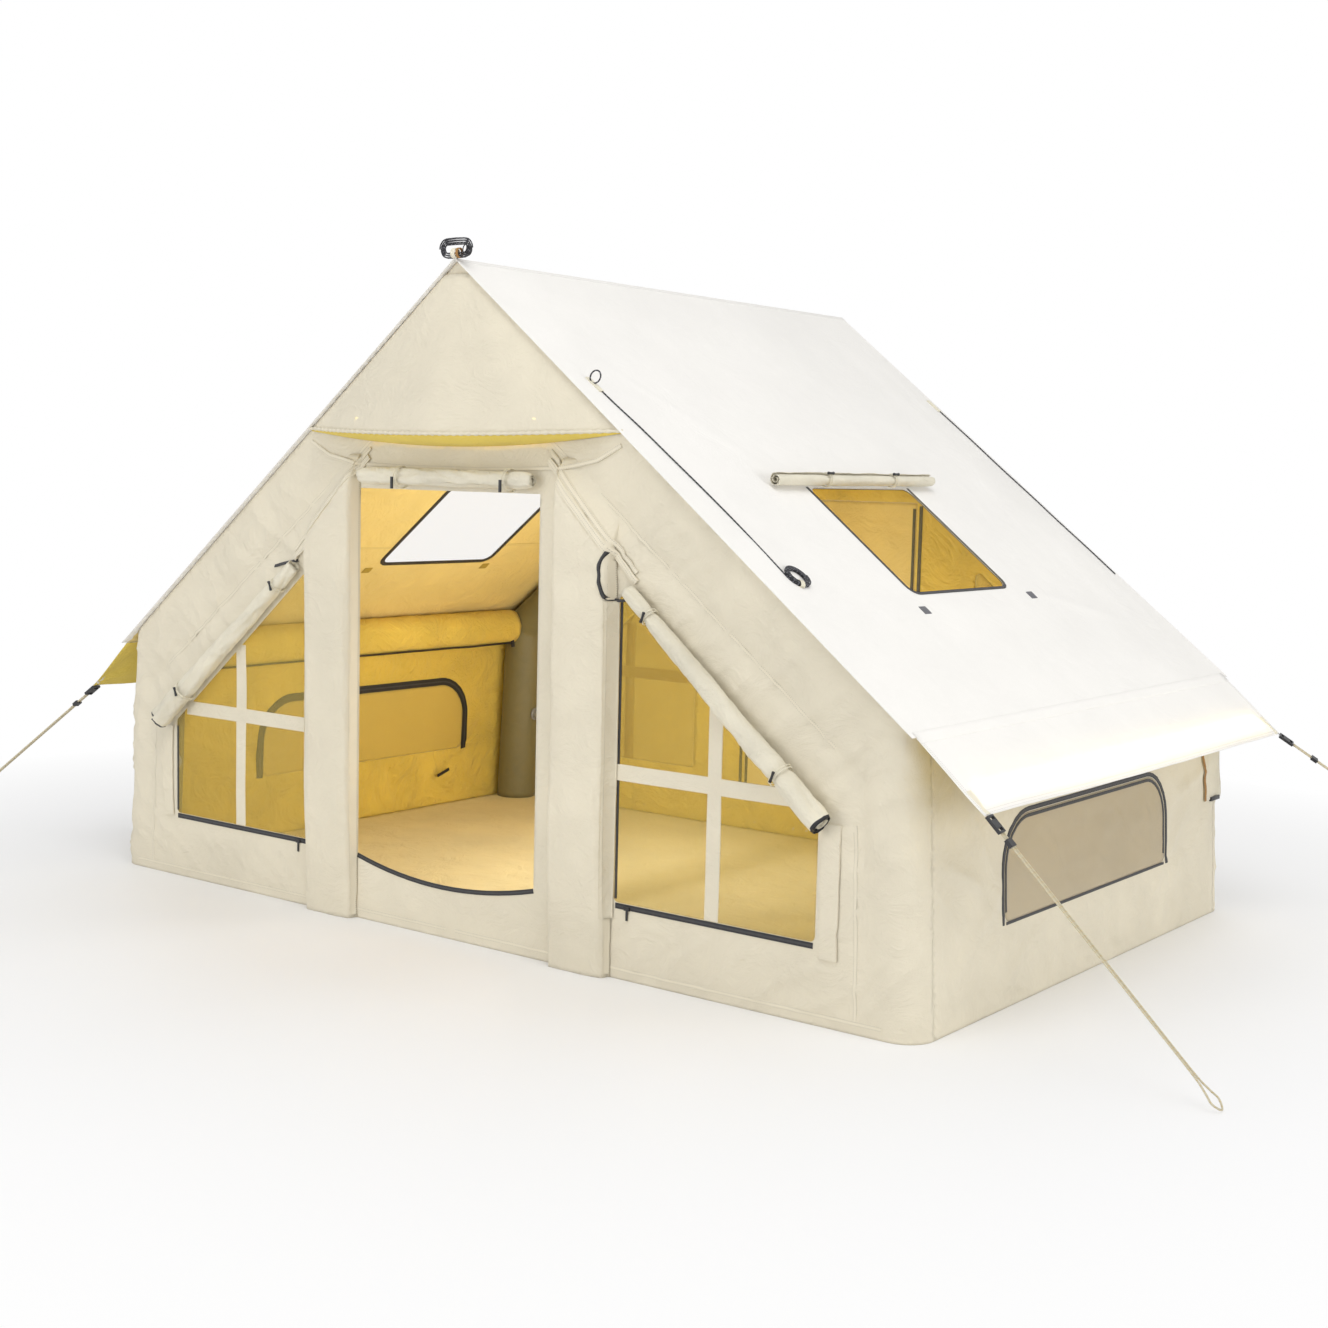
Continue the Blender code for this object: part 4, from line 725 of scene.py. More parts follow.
def trim(name, jobs, finish_name, step=0.02, body="tent"):
    """Sewn bands that move with a body."""
    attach(strips(name, jobs, finish_name, step), body)


def frames_along(path):
    """Two directions square to a path at each of its points, carried along without twist."""
    path = np.array(path, float)
    ahead = np.gradient(path, axis=0)
    ahead /= np.linalg.norm(ahead, axis=1)[:, None]
    start = np.array([0.0, 0.0, 1.0]) if abs(ahead[0][2]) < 0.9 else np.array([1.0, 0.0, 0.0])
    first = []
    last = start
    for direction in ahead:
        last = last - direction * (last @ direction)
        last = last / np.linalg.norm(last)
        first.append(last)
    first = np.array(first)
    return ahead, first, np.cross(ahead, first)


def tube_data(path, radius, sides=10):
    """Points, faces and UV of a round cord with closed ends."""
    path = np.array(path, float)
    _, first, second = frames_along(path)
    gone = length_along(path)
    radii = np.broadcast_to(radius, len(path))
    points, uvs = [], []
    for j, point in enumerate(path):
        for k in range(sides):
            turn = 2 * math.pi * k / sides
            points.append(tuple(point + (first[j] * math.cos(turn) + second[j] * math.sin(turn)) * radii[j]))
            uvs.append((turn * radii[j], gone[j]))
    return points, ring_faces(len(path), sides), uvs


def tubes(name, jobs, finish_name, sides=10):
    """One piece of one or more round cords; each job is a path and a radius."""
    points, faces, uvs = [], [], []
    for path, radius in jobs:
        p, f, t = tube_data(path, radius, sides)
        faces += [tuple(i + len(points) for i in face) for face in f]
        points += p
        uvs += t
    return make_piece(name, points, faces, uvs, [finish_name])


def smooth_route(points, steps):
    """A smooth curve through a route's own points."""
    line = np.array(points, float)
    padded = np.vstack([2 * line[0] - line[1], line, 2 * line[-1] - line[-2]])
    made = []
    for index, count in enumerate(steps):
        p0, p1, p2, p3 = padded[index:index + 4]
        for step in range(count):
            t = step / count
            curve = 2 * p1 + (p2 - p0) * t + (2 * p0 - 5 * p1 + 4 * p2 - p3) * t ** 2
            made.append((curve + (3 * p1 - p0 - 3 * p2 + p3) * t ** 3) / 2)
    made.append(line[-1])
    return np.array(made)


def box_detail(name, centre, size, axes, finish_name, bevel=0.2):
    """A small moulded block: a cube shaped in edit mode, its edges rounded."""
    bpy.ops.object.select_all(action="DESELECT")
    bpy.ops.mesh.primitive_cube_add(size=1.0)
    made = bpy.context.object
    made.name = name
    place = Matrix((axes[0], axes[1], axes[2])).transposed().to_4x4()
    place.translation = Vector(centre)
    made.data.transform(place @ Matrix.Diagonal((*size, 1.0)))
    bpy.ops.object.mode_set(mode="EDIT")
    bpy.ops.mesh.select_all(action="SELECT")
    bpy.ops.mesh.bevel(offset=min(size) * bevel, segments=2)
    bpy.ops.object.mode_set(mode="OBJECT")
    made.data.materials.clear()
    made.data.materials.append(finish(finish_name))
    bpy.ops.object.shade_smooth_by_angle(angle=math.radians(35))
    return made


def joined(name, pieces):
    """Several small pieces as one object of this name."""
    bpy.ops.object.select_all(action="DESELECT")
    for piece in pieces:
        piece.select_set(True)
    bpy.context.view_layer.objects.active = pieces[0]
    if len(pieces) > 1:
        bpy.ops.object.join()
    made = bpy.context.view_layer.objects.active
    made.name = name
    return made


# Camera and cords


def build_camera():
    """The camera at the photograph's place, yaw, pitch and roll."""
    bpy.ops.object.camera_add(location=(3.667, -4.8295, 1.3669))
    camera = bpy.context.object
    yaw, pitch, roll = math.radians(37.234), math.radians(5.914), math.radians(1.416)
    ahead = Vector((-math.sin(yaw) * math.cos(pitch), math.cos(yaw) * math.cos(pitch), -math.sin(pitch)))
    right = ahead.cross(Vector((0, 0, 1))).normalized()
    up = right.cross(ahead)
    level = right * math.cos(roll) + up * math.sin(roll)
    high = -right * math.sin(roll) + up * math.cos(roll)
    place = Matrix((level, high, -ahead)).transposed().to_4x4()
    place.translation = camera.location
    camera.matrix_world = place
    camera.data.sensor_width = 36.0
    camera.data.lens = 50.06
    camera.data.clip_start, camera.data.clip_end = 0.05, 200.0
    bpy.context.scene.camera = camera


def guy_frame(label):
    """A guy line's start, its taut direction, the direction across its strands, and its length."""
    anchor = GUYS[label][0]
    side = 1 if "right" in label else -1
    end = -1 if "front" in label else 1
    tip = awning_surface(side)(np.array([end * (HALF_D - 0.018)]), np.array([AWNING_LENGTH]), np.zeros(1))[0]
    tip, ground = Vector(tip), Vector((*anchor, 0.0055))
    up = Vector((-side * math.cos(AWNING_PITCH), 0, math.sin(AWNING_PITCH)))
    lead = (ground - tip).normalized()
    across = Vector((0, side, 0))
    level = (across - lead * across.dot(lead)).normalized()
    face = lead.cross(level)
    spread = 0.015 * abs(level.dot(up)) + 0.004 * abs(face.dot(up))
    start = tip - lead * ((0.0003 + spread) / lead.dot(up)) + lead * 0.0503
    return start, lead, level, (ground - start).length


def build_guy_lines():
    """The three taut guy lines: a doubled cord from the buckle to its loop on the ground."""
    for label, (_, bend, body) in GUYS.items():
        start, lead, level, length = guy_frame(label)
        near, wide, loop = 0.005, 0.022, 0.10
        straight = length - loop
        stations = [(start, level * near)]
        stations += [(start + lead * straight * share, level * near) for share in (0.35, 0.7, 1.0)]
        stations.append((start + lead * (length - loop / 2), level * ((near + wide) / 2)))
        stations.append((start + lead * (length - wide), level * wide))
        route = [p + o for p, o in stations] + [start + lead * length] + [p - o for p, o in stations[::-1]]
        steps = [6] * 3 + [4] * 6 + [6] * 3
        path = smooth_route(route, steps)
        fine = smooth_route(path, [3] * (len(path) - 1))
        line = tubes(f"guy_cord_{label}", [(fine, 0.0025)], "cord_pale", 10)
        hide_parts(f"guy_line_{label}")
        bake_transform(line)


def wound_loops(run, outer, turns, pitch):
    """Loops wound in and out again in two layers, as local points."""
    wind = 2 * math.pi * turns
    total = 2 * wind + math.pi
    count = int(round(total / (2 * math.pi) * 24))
    made = []
    for index in range(count + 1):
        turn = total * index / count
        if turn < wind:
            radius, climb = outer - pitch * turn / (2 * math.pi), 0.0
        elif turn < wind + math.pi:
            share = (turn - wind) / math.pi
            radius, climb = outer - pitch * turns, pitch * share * share * (3 - 2 * share)
        else:
            radius, climb = outer - pitch * (turns - (turn - wind - math.pi) / (2 * math.pi)), pitch
        shift = run / 2 * math.tanh(5 * math.cos(turn))
        made.append(Vector((radius * math.cos(turn) + shift, radius * math.sin(turn), climb)))
    return made


def stored_cord(name, path):
    line = tubes(name + "_cord", [(path, 0.002)], "cord_dark", 8)
    stand_for(line, name)


def build_stored_cords():
    """The dark cords on the roof: three runs, the coils of the front two, and the hank on the ridge."""
    lift = 0.0029
    for label, side, end, run in (
        ("right_front", 1, -1, FRONT_RUN), ("left_front", -1, -1, FRONT_RUN), ("right_back", 1, 1, BACK_RUN)
    ):
        down, inward = np.array(run).T
        route = roof_surface(side)(end * (HALF_D - inward), down, np.full(len(down), lift))
        path = smooth_route(route, [4] * (len(route) - 1))
        stored_cord(f"stored_run_{label}", path)
        if end < 0:
            last, before = Vector(route[-1]), Vector(route[-2])
            ahead = (last - before).normalized()
            out = slope_out(side)
            across = ahead.cross(out).normalized()
            centre = last + ahead * 0.0003 - across * 0.040
            third = across.cross(ahead)
            flip = 1 if third.dot(out) > 0 else -1
            loops = wound_loops(0.0, 0.040, 3, 0.0053)
            points = [centre + across * p.x + ahead * p.y + third * (flip * p.z) for p in loops]
            stored_cord(f"stored_coil_{label}", points)
            far = (ahead * 0.9 + across * 0.4).normalized()
            beside = far.cross(out).normalized()
            heart = centre + far * 0.0320 + out * 0.0026
            rings = []
            for turn in range(4):
                place = heart + beside * (0.0034 * (turn - 1.5))
                rings.append((circle(place, far * 0.0120, out * 0.0066), 0.0016))
            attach(tubes(f"coil_tie_{label}", rings, "webbing_cream", 6), "tent")
    loops = wound_loops(0.060, 0.030, 3, 0.0062)
    lowest = min(point.y for point in loops)
    rest = RIDGE - ROOF_TOP * math.sin(SLOPE) - lowest + 0.002 + 0.0003
    y = -HALF_D - 0.02 + 0.0062 + 0.004
    points = [Vector((p.x, y - p.z, rest + p.y)) for p in loops]
    stored_cord("stored_hank_apex", points)


# Cloth of the body


def roof_outline():
    half = HALF_D + 0.02
    return [(-half, ROOF_TOP), (half, ROOF_TOP), (half, ROOF_LENGTH - 0.0004), (-half, ROOF_LENGTH - 0.0004)]


def skylight_loop(side, shrink=0.0):
    middle, down = SKYLIGHT[side]
    half = SKYLIGHT_HALF - shrink
    points = [
        (middle - half, down + shrink), (middle + half, down + shrink),
        (middle + half, down + SKYLIGHT_LENGTH - shrink), (middle - half, down + SKYLIGHT_LENGTH - shrink),
    ]
    return rounded(points, [0.03 - shrink] * 4, 4)


def roof_relief(side):
    def relief(u, v, d):
        calm = rise(d, 0.0, 0.10)
        free = rise(HALF_D - 0.17 - np.abs(u), 0, 0.12) * rise(v, 0.13, 0.35) * rise(ROOF_LENGTH - 0.14 - v, 0, 0.2)
        folds = sizes().folds
        soft = ripple(u, v, 0.9, 0.5, 3.1 * side) * 0.5 + ripple(u, v, 0.35, 1.3, 7.7 * side) * 0.35
        soft += 0.35 * crease(u, v, 0.25, 1.1, 5 + side, 0.25)
        lines = pull(u, v, (-0.95, 0.25), (-0.40, 1.0), 0.02) - pull(u, v, (0.95, 0.3), (0.2, 1.0), 0.025)
        lines += pull(u, v, (0.9, 1.7), (0.25, 1.45), 0.022) + pull(u, v, (-0.9, 1.75), (-0.38, 1.46), 0.022)
        return calm * (np.abs(soft) * folds * 0.8 + lines * folds * 0.6 * free) - 0.005 * free
    return relief


def build_roofs():
    """The two roof panels, their skylight nets, black bindings, hems and seams."""
    for label, side in BOTH_SIDES:
        panel = Sheet(roof_surface(side), roof_outline(), [skylight_loop(side)], roof_relief(side))
        cloth = panel.build(f"roof_cloth_{label}", ["canvas_roof", "canvas_lining"], sizes().cloth, 0.020)
        for face in cloth.data.polygons:
            if abs(face.center.y) > HALF_D - 0.004:
                face.material_index = 0
        stand_for(cloth, f"roof_{label}")
        net = Sheet(
            roof_surface(side), skylight_loop(side, 0.0003), [], lambda u, v, d: -0.001 - 0.004 * rise(d, 0, 0.15)
        )
        pane = net.build(f"skylight_net_{label}", ["net_sky"], NET_CLOTH, 0.03)
        stand_for(pane, f"skylight_{label}")
        panel.area()
        net.area()
        middle, down = SKYLIGHT[side]
        sides = [(middle + end * (SKYLIGHT_HALF + 0.006), down - 0.004) for end in (1, -1)]
        zip_line = [sides[0], *[p for p in skylight_loop(side, -0.006) if p[1] > down + 0.04], sides[1]]
        trim(f"skylight_binding_{label}", [(panel, zip_line, 0.011, 0.0012)], "zip_black", FINE_STEP)
        lining_loop = skylight_loop(side, -0.008)
        trim(f"skylight_lining_{label}", [(panel, lining_loop, 0.018, -0.0030, True)], "zip_black", FINE_STEP)
        half, low = HALF_D + 0.02, ROOF_LENGTH - 0.0004
        edges = [[(end * (half - 0.008), 0.01), (end * (half - 0.008), low)] for end in (-1, 1)]
        trim(f"roof_seams_{label}", [(panel, [(-half, 0.012), (half, 0.012)], 0.02, 0.0007)], "seam_roof")
        trim(f"roof_edges_{label}", [(panel, line, 0.014, 0.0007) for line in edges], "canvas_roof")


def gable_peak():
    return RIDGE - CLOTH_DEPTH / math.cos(SLOPE)


def gable_outline():
    peak = gable_peak()
    right = [(HALF_W - CORNER + CORNER * math.pi / 2, 0.0)]
    for step in range(9):
        turn = math.pi / 2 * step / 8
        across = HALF_W - CORNER + CORNER * math.cos(turn)
        z = (peak - across * math.tan(SLOPE)) / (1 - math.tan(TILT) * math.tan(SLOPE))
        right.append((HALF_W - CORNER - z * math.tan(TILT) + CORNER * (math.pi / 2 - turn), z))
    return right + [(0.0, peak)] + [(-u, z) for u, z in right[::-1]]


def door_loop():
    middle, half = (DOOR_LEFT + DOOR_RIGHT) / 2, (DOOR_RIGHT - DOOR_LEFT) / 2
    sill = []
    for step in range(17):
        share = 2 * step / 16 - 1
        sill.append((middle + share * half, SILL - SILL_DIP * (1 - share * share)))
    return [(DOOR_RIGHT, DOOR_TOP), (DOOR_LEFT, DOOR_TOP)] + sill


def window_loop(side, shrink=0.0):
    inner, outer, low = WINDOW["inner"] + shrink, WINDOW["outer"] - shrink, WINDOW["low"] + shrink
    fall = (WINDOW["inner_top"] - WINDOW["outer_top"]) / (WINDOW["outer"] - WINDOW["inner"])
    drop = shrink * math.hypot(1, fall)
    tops = (WINDOW["outer_top"] + fall * shrink - drop, WINDOW["inner_top"] - fall * shrink - drop)
    return rounded(
        [(side * inner, low), (side * outer, low), (side * outer, tops[0]), (side * inner, tops[1])], [0.015] * 4, 3
    )


def back_door_loop(grow=0.0):
    half = 0.36 + grow
    return [(-half, 0.15 - grow), (half, 0.15 - grow), (half, 1.28 + grow / 2), (-half, 1.28 + grow / 2)]


def gable_relief(seed):
    def relief(u, v, d):
        folds = sizes().folds
        slant = (gable_peak() - v - np.abs(u) * math.tan(SLOPE)) * math.cos(SLOPE)
        column = HALF_W - v * math.tan(TILT) - np.abs(u)
        inset = np.minimum(slant, column + 0.04)
        groove = -0.0075 * np.exp(-((inset - 0.185) / 0.028) ** 2)
        free = rise(inset, 0.15, 0.22)
        lane = np.exp(-((v - WINDOW["low"] + 0.014) / 0.036) ** 4) * rise(np.abs(u), 0.50, 0.58) * rise(
            1.34 - np.abs(u), 0.0, 0.06
        )
        calm = rise(d, 0.0, 0.06) * (1 - lane)
        soft = ripple(u, v, 0.5, 0.8, seed) * 0.7 + ripple(u, v, 0.16, 0.5, seed + 5) * 0.30
        made = np.abs(ripple(u, v, 0.6, 0.9, seed + 9)) * folds * 0.35
        cheek = rise(np.abs(u) - 0.5, 0, 0.15)
        for side in (-1, 1):
            half = np.where(u * side > 0, 1.0, 0.0) * cheek
            made += folds * 1.25 * half * crease(u, v, 0.11, 0.7, seed + 13, side * (math.pi / 2 - SLOPE) * -1)
        made += folds * 0.55 * crease(u, v, 0.16, 0.5, seed + 21)
        made += folds * 0.60 * np.exp(-(v / 0.12) ** 2) * crease(u, v, 0.07, 0.3, seed + 25)
        for side in (-1, 1):
            made += folds * 0.35 * fan(u, v, (side * 1.50, 0.02), 9, 0.35, 1.0 + side)
            made += folds * 0.5 * fan(u, v, (side * 1.28, 0.50), 7, 0.22, 0.4 * side)
            made += folds * 0.5 * fan(u, v, (side * 0.62, 1.10), 8, 0.25, 2.0)
            made += folds * 0.5 * pull(u, v, (side * 0.60, 1.40), (side * 1.42, 0.70), 0.018)
        made = np.maximum(made, -0.0008 - 0.01 * rise(inset, 0.14, 0.22))
        return calm * (made + free * soft * folds + groove * rise(v, 0.05, 0.3))
    return relief


GABLES = {}
SIDES = {}


def build_gables():
    """The front and back walls, which wrap round the corner columns."""
    for label, side, holes in (
        ("front", -1, [door_loop(), window_loop(1), window_loop(-1)]),
        ("back", 1, [back_door_loop(0.0006), window_loop(1), window_loop(-1)]),
    ):
        wall = Sheet(gable_surface(side), gable_outline(), holes, gable_relief(2.0 + side))
        GABLES[label] = wall
        cloth = wall.build(f"{label}_wall_cloth", ["canvas_cream", "canvas_inner"], sizes().cloth)
        stand_for(cloth, f"{label}_wall")
        wall.area()


def net_relief(side, window):
    """A gable window's net: slack in ripples at the front, drawn flat and a little inwards at the back."""
    wave, sunk = (0.0045, 0.0) if side < 0 else (0.0012, 0.0018)

    def relief(u, v, d):
        return -0.0004 + rise(d, 0, 0.1) * (ripple(u, v, 0.12, 0.5, 11.0 + side + 2 * window) * wave - sunk)
    return relief


def window_cross(sheet, window, short, heights):
    """The upright and the level bar of a window's cross, as jobs for strips."""
    fall = (WINDOW["inner_top"] - WINDOW["outer_top"]) / (WINDOW["outer"] - WINDOW["inner"])
    top = WINDOW["inner_top"] - fall * (BAR_X - WINDOW["inner"]) + 0.004
    reach = WINDOW["inner"] + (WINDOW["inner_top"] - BAR_Z) / fall
    upright = [(window * BAR_X, WINDOW["low"] + 0.001), (window * BAR_X, top - short)]
    level = [(window * (WINDOW["inner"] + 0.001), BAR_Z), (window * (reach - short), BAR_Z)]
    return [(sheet, line, BAR_WIDTH, height) for line, height in zip((upright, level), heights)]


def build_gable_nets():
    """The four gable windows: net, sewn cross of cloth strips, and the zips round them."""
    for gable, side in (("front", -1), ("back", 1)):
        for label, window in BOTH_SIDES:
            sheet = Sheet(gable_surface(side), window_loop(window, 0.0003), [], net_relief(side, window))
            # The back windows' nets are painted with the yellow inside glow.
            coat = "net_window" if gable == "front" else "net_inner"
            net = sheet.build(f"window_net_{gable}_{label}", [coat], NET_CLOTH)
            stand_for(net, f"window_{gable}_{label}")
            sheet.area()
            # The back crosses take the painted backlit shade.
            coat = "canvas_cream" if gable == "front" else "seam_dusk"
            trim(f"window_cross_{gable}_{label}", window_cross(sheet, window, 0.0, (0.0011, 0.0016)), coat)
            if gable == "back":
                inside = window_cross(sheet, window, 0.03, (-0.0026, -0.0032))
                trim(f"window_inside_cross_{label}", inside, "seam_dusk")
            low, inner, outer = WINDOW["low"] - 0.009, WINDOW["inner"] + 0.008, WINDOW["outer"] - 0.005
            tapes = [(GABLES[gable], [(window * inner, low), (window * outer, low)], sizes().zip, 0.0012)]
            uprights = [(outer, WINDOW["outer_top"] - 0.02), (inner, WINDOW["inner_top"] - 0.03)]
            if (gable, label) == ("front", "right"):
                uprights = uprights[1:]
            for across, top in uprights:
                tapes.append((sheet, [(window * across, WINDOW["low"] + 0.01), (window * across, top)], 0.008, 0.001))
            trim(f"window_zip_{gable}_{label}", tapes, "zip_black", FINE_STEP)


def build_closed_covers():
    """The covers that are zipped shut over the back windows and the left side window."""
    for label, wall, loop, side, flat, cloth in (
        ("back_right", GABLES["back"], window_loop, 1, (0.68, 0.86), "back_wall_cloth"),
        ("back_left", GABLES["back"], window_loop, -1, (0.68, 0.86), "back_wall_cloth"),
        ("side_left", SIDES["left"], side_window_loop, -1, (1.09, 0.31), "side_wall_cloth_left"),
    ):
        def relief(u, v, d, wall=wall):
            under = wall.relief(u, v, edge_distance(u, v, [wall.outline, *wall.holes]))
            return np.maximum(under, 0.0) + 0.0022 + 0.0030 * rise(d, 0.03, 0.09)

        plain = Sheet(wall.surface, loop(side, -CLOSED_COVER), [], relief)
        cover = plain.build(f"closed_cover_{label}", ["canvas_cream", "canvas_inner"], 0.0010, 0.022)
        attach(cover, "tent")
        plain.area()
        tape = (plain, loop(side, -0.004), 0.010, 0.0012, True)
        trim(f"closed_cover_zip_{label}", [tape], "zip_black", FINE_STEP)


def side_window_loop(side, shrink=0.0):
    middle, half = SIDE_WINDOW[side], 0.53 - shrink
    low, high = 0.225 + shrink, 0.50 - shrink
    points = [(middle - half, low), (middle + half, low), (middle + half, high), (middle - half, high)]
    return rounded(points, [0.03 - shrink, 0.03 - shrink, 0.14 - shrink, 0.14 - shrink], 8)


def side_relief(side):
    middle = SIDE_WINDOW[side]
    def relief(u, v, d):
        folds = sizes().folds * 1.5
        calm = rise(d, 0.0, 0.05) * rise(0.70 - v, 0.0, 0.08)
        made = ripple(u, v, 0.35, 0.5, 20 + side) * 0.55 + 0.7 * crease(u, v, 0.15, 0.6, 23 + side, 0.7)
        made += 0.5 * crease(u, v, 0.20, 0.5, 27 + side, -0.6)
        for u0, v0, u1, v1, width in (
            (-0.93, 0.05, -0.5, 0.35, 0.022), (-0.93, 0.45, -0.55, 0.30, 0.018), (0.93, 0.02, 0.50, 0.24, 0.02),
            (0.93, 0.5, 0.55, 0.40, 0.02), (-0.6, 0.03, -0.3, 0.2, 0.016), (0.2, 0.02, 0.1, 0.21, 0.02),
        ):
            made += 1.1 * pull(u, v, (middle + u0, v0), (middle + u1, v1), width)
        for corner, phase in ((middle + 0.53, 0.3), (middle - 0.53, 2.0)):
            made += 0.5 * fan(u, v, (corner, 0.22), 8, 0.25, phase)
        return calm * np.clip(made, -0.5, 2.4) * folds
    return relief


def side_net_relief(side):
    """A side window's net: slack and creased on the right, drawn flat and a little inwards on the left."""
    share, sunk = (1.0, 0.0) if side > 0 else (0.2, 0.003)

    def relief(u, v, d):
        made = ripple(u, v, 0.26, 0.12, 31 + side) * 0.008 + 0.005 * crease(u, v, 0.14, 0.4, 37 + side, 0.9)
        return -0.0004 + rise(d, 0, 0.08) * ((made - 0.005) * share - sunk)
    return relief


def build_side_walls():
    """The two side walls with their net windows and arched zips."""
    top = (EAVE - CLOTH_DEPTH / math.cos(SLOPE) - 0.0003) / math.cos(TILT)
    half = HALF_D - CORNER - 0.0003
    for label, side in BOTH_SIDES:
        outline = [(-half, 0.0003), (half, 0.0003), (half, top), (-half, top)]
        wall = Sheet(wall_surface(side), outline, [side_window_loop(side)], side_relief(side))
        SIDES[label] = wall
        cloth = wall.build(f"side_wall_cloth_{label}", ["canvas_cream", "canvas_inner"], sizes().cloth)
        stand_for(cloth, f"side_wall_{label}")
        wall.area()
        pane = Sheet(wall_surface(side), side_window_loop(side, 0.0003), [], side_net_relief(side))
        # The right net carries painted shade for the darker inside behind it.
        net = pane.build(f"side_window_net_{label}", ["net_side" if side > 0 else "net_inner"], NET_CLOTH)
        stand_for(net, f"side_window_{label}")
        pane.area()
        middle = SIDE_WINDOW[side]
        arch = [p for p in side_window_loop(side, -0.008) if p[1] > 0.24]
        arch = sorted(arch, key=lambda p: math.atan2(p[1] - 0.2, middle - p[0]))
        arch = [(middle - 0.538, 0.22)] + arch + [(middle + 0.538, 0.22)]
        inner = [p for p in side_window_loop(side, 0.010) if p[1] > 0.25]
        inner = sorted(inner, key=lambda p: math.atan2(p[1] - 0.2, middle - p[0]))
        low = [(middle - 0.52, 0.222), (middle + 0.52, 0.222)]
        zips = strips(
            f"side_window_zip_{label}",
            [(wall, arch, 0.013, 0.0014), (pane, inner, 0.009, 0.0012), (wall, low, 0.008, 0.001)],
            "zip_black", FINE_STEP,
        )
        linings = strips(f"side_window_tape_{label}", [(wall, arch, 0.030, -0.0038)], "zip_black", FINE_STEP)
        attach(zips, "tent")
        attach(linings, "tent")


def awning_relief(side):
    def relief(u, v, d):
        folds = sizes().folds
        hang = rise(v, 0.02, AWNING_LENGTH)
        made = ripple(u, v, 0.45, 0.4, 41 + side) * 1.0
        made += 0.8 * fan(
            u, v, (-HALF_D, AWNING_LENGTH), 6, 0.30, 0.5
        ) + 0.8 * fan(u, v, (HALF_D, AWNING_LENGTH), 6, 0.30, 1.5)
        return hang * (made * folds - 0.010 * np.cos(u * math.pi / 2 / HALF_D) ** 2 * hang)
    return relief


def eave_seam(label, side):
    """The felled seam where an awning is sewn to the roof."""
    us = np.linspace(-HALF_D, HALF_D, 51)
    points = []
    for across, lift in (
        (-0.018, 0.0002), (-0.017, 0.0009), (-0.009, 0.0012), (-0.003, 0.0013), (0.003, 0.0013), (0.009, 0.0012),
        (0.017, 0.0009), (0.018, 0.0002)
    ):
        if across < 0:
            row = roof_surface(side)(us, np.full(51, ROOF_LENGTH + across), np.full(51, lift))
        else:
            row = awning_surface(side)(us, np.full(51, across), np.full(51, lift))
        points.append([tuple(p) for p in row])
    uvs = [[(u, row * 0.005) for u in us] for row in range(len(points))]
    seam = grid_piece(f"eave_seam_{label}", points, ["canvas_roof"], uvs, 0.0007, False, (side, 0, 1))
    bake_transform(seam)


def build_awnings():
    """The two awnings with their hems and the webbing that holds the buckles."""
    for label, side in BOTH_SIDES:
        outline = [(-HALF_D, 0.0006), (HALF_D, 0.0006), (HALF_D, AWNING_LENGTH), (-HALF_D, AWNING_LENGTH)]
        sheet = Sheet(awning_surface(side), outline, [], awning_relief(side))
        cloth = sheet.build(f"awning_cloth_{label}", ["canvas_roof", "canvas_shade"], sizes().cloth)
        stand_for(cloth, f"awning_{label}", f"awning_{label}")
        eave_seam(label, side)
        edge = AWNING_LENGTH - 0.010
        hems = strips(
            f"awning_seams_{label}",
            [
                (sheet, [(-HALF_D + 0.002, edge), (HALF_D - 0.002, edge)], 0.016, 0.0008),
                (sheet, [(-HALF_D + 0.009, 0.01), (-HALF_D + 0.009, edge)], 0.014, 0.0008),
                (sheet, [(HALF_D - 0.009, 0.01), (HALF_D - 0.009, edge)], 0.014, 0.0008),
            ],
            "seam_roof",
        )
        jobs = []
        for end in (-1, 1):
            u = end * (HALF_D - 0.018)
            jobs.append((sheet, [(u, AWNING_LENGTH - 0.075), (u, AWNING_LENGTH - 0.002)], 0.020, 0.0016))
        tabs = strips(f"awning_webbing_{label}", jobs, "webbing_cream", 0.01)
        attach(hems, f"awning_{label}")
        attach(tabs, f"awning_{label}")


# Frame, floor and front


def arch_points(side, foot):
    """The middle line of an arch's tube, bent at the eaves and the ridge."""
    wall_x = HALF_W - CORNER / math.cos(TILT)
    peak = RIDGE - CORNER / math.cos(SLOPE)
    eave_z = (peak - wall_x * math.tan(SLOPE)) / (1 - math.tan(TILT) * math.tan(SLOPE))
    eave_x = wall_x - eave_z * math.tan(TILT)
    foot_x = wall_x - foot * math.tan(TILT)
    y = side * (HALF_D - CORNER)
    corners = [
        Vector(p)
        for p in ((foot_x, y, foot), (eave_x, y, eave_z), (0, y, peak), (-eave_x, y, eave_z), (-foot_x, y, foot))
    ]
    made = [corners[0]]
    for index in range(1, 4):
        corner = corners[index]
        back = (corners[index - 1] - corner).normalized()
        ahead = (corners[index + 1] - corner).normalized()
        half = back.angle(ahead) / 2
        bend = 0.085
        centre = corner + (back + ahead).normalized() * (bend / math.sin(half))
        start, end = corner + back * (bend / math.tan(half)) - centre, corner + ahead * (bend / math.tan(half)) - centre
        made += [centre + start.slerp(end, step / 8) * bend for step in range(9)]
    return [tuple(p) for p in made + [corners[-1]]]


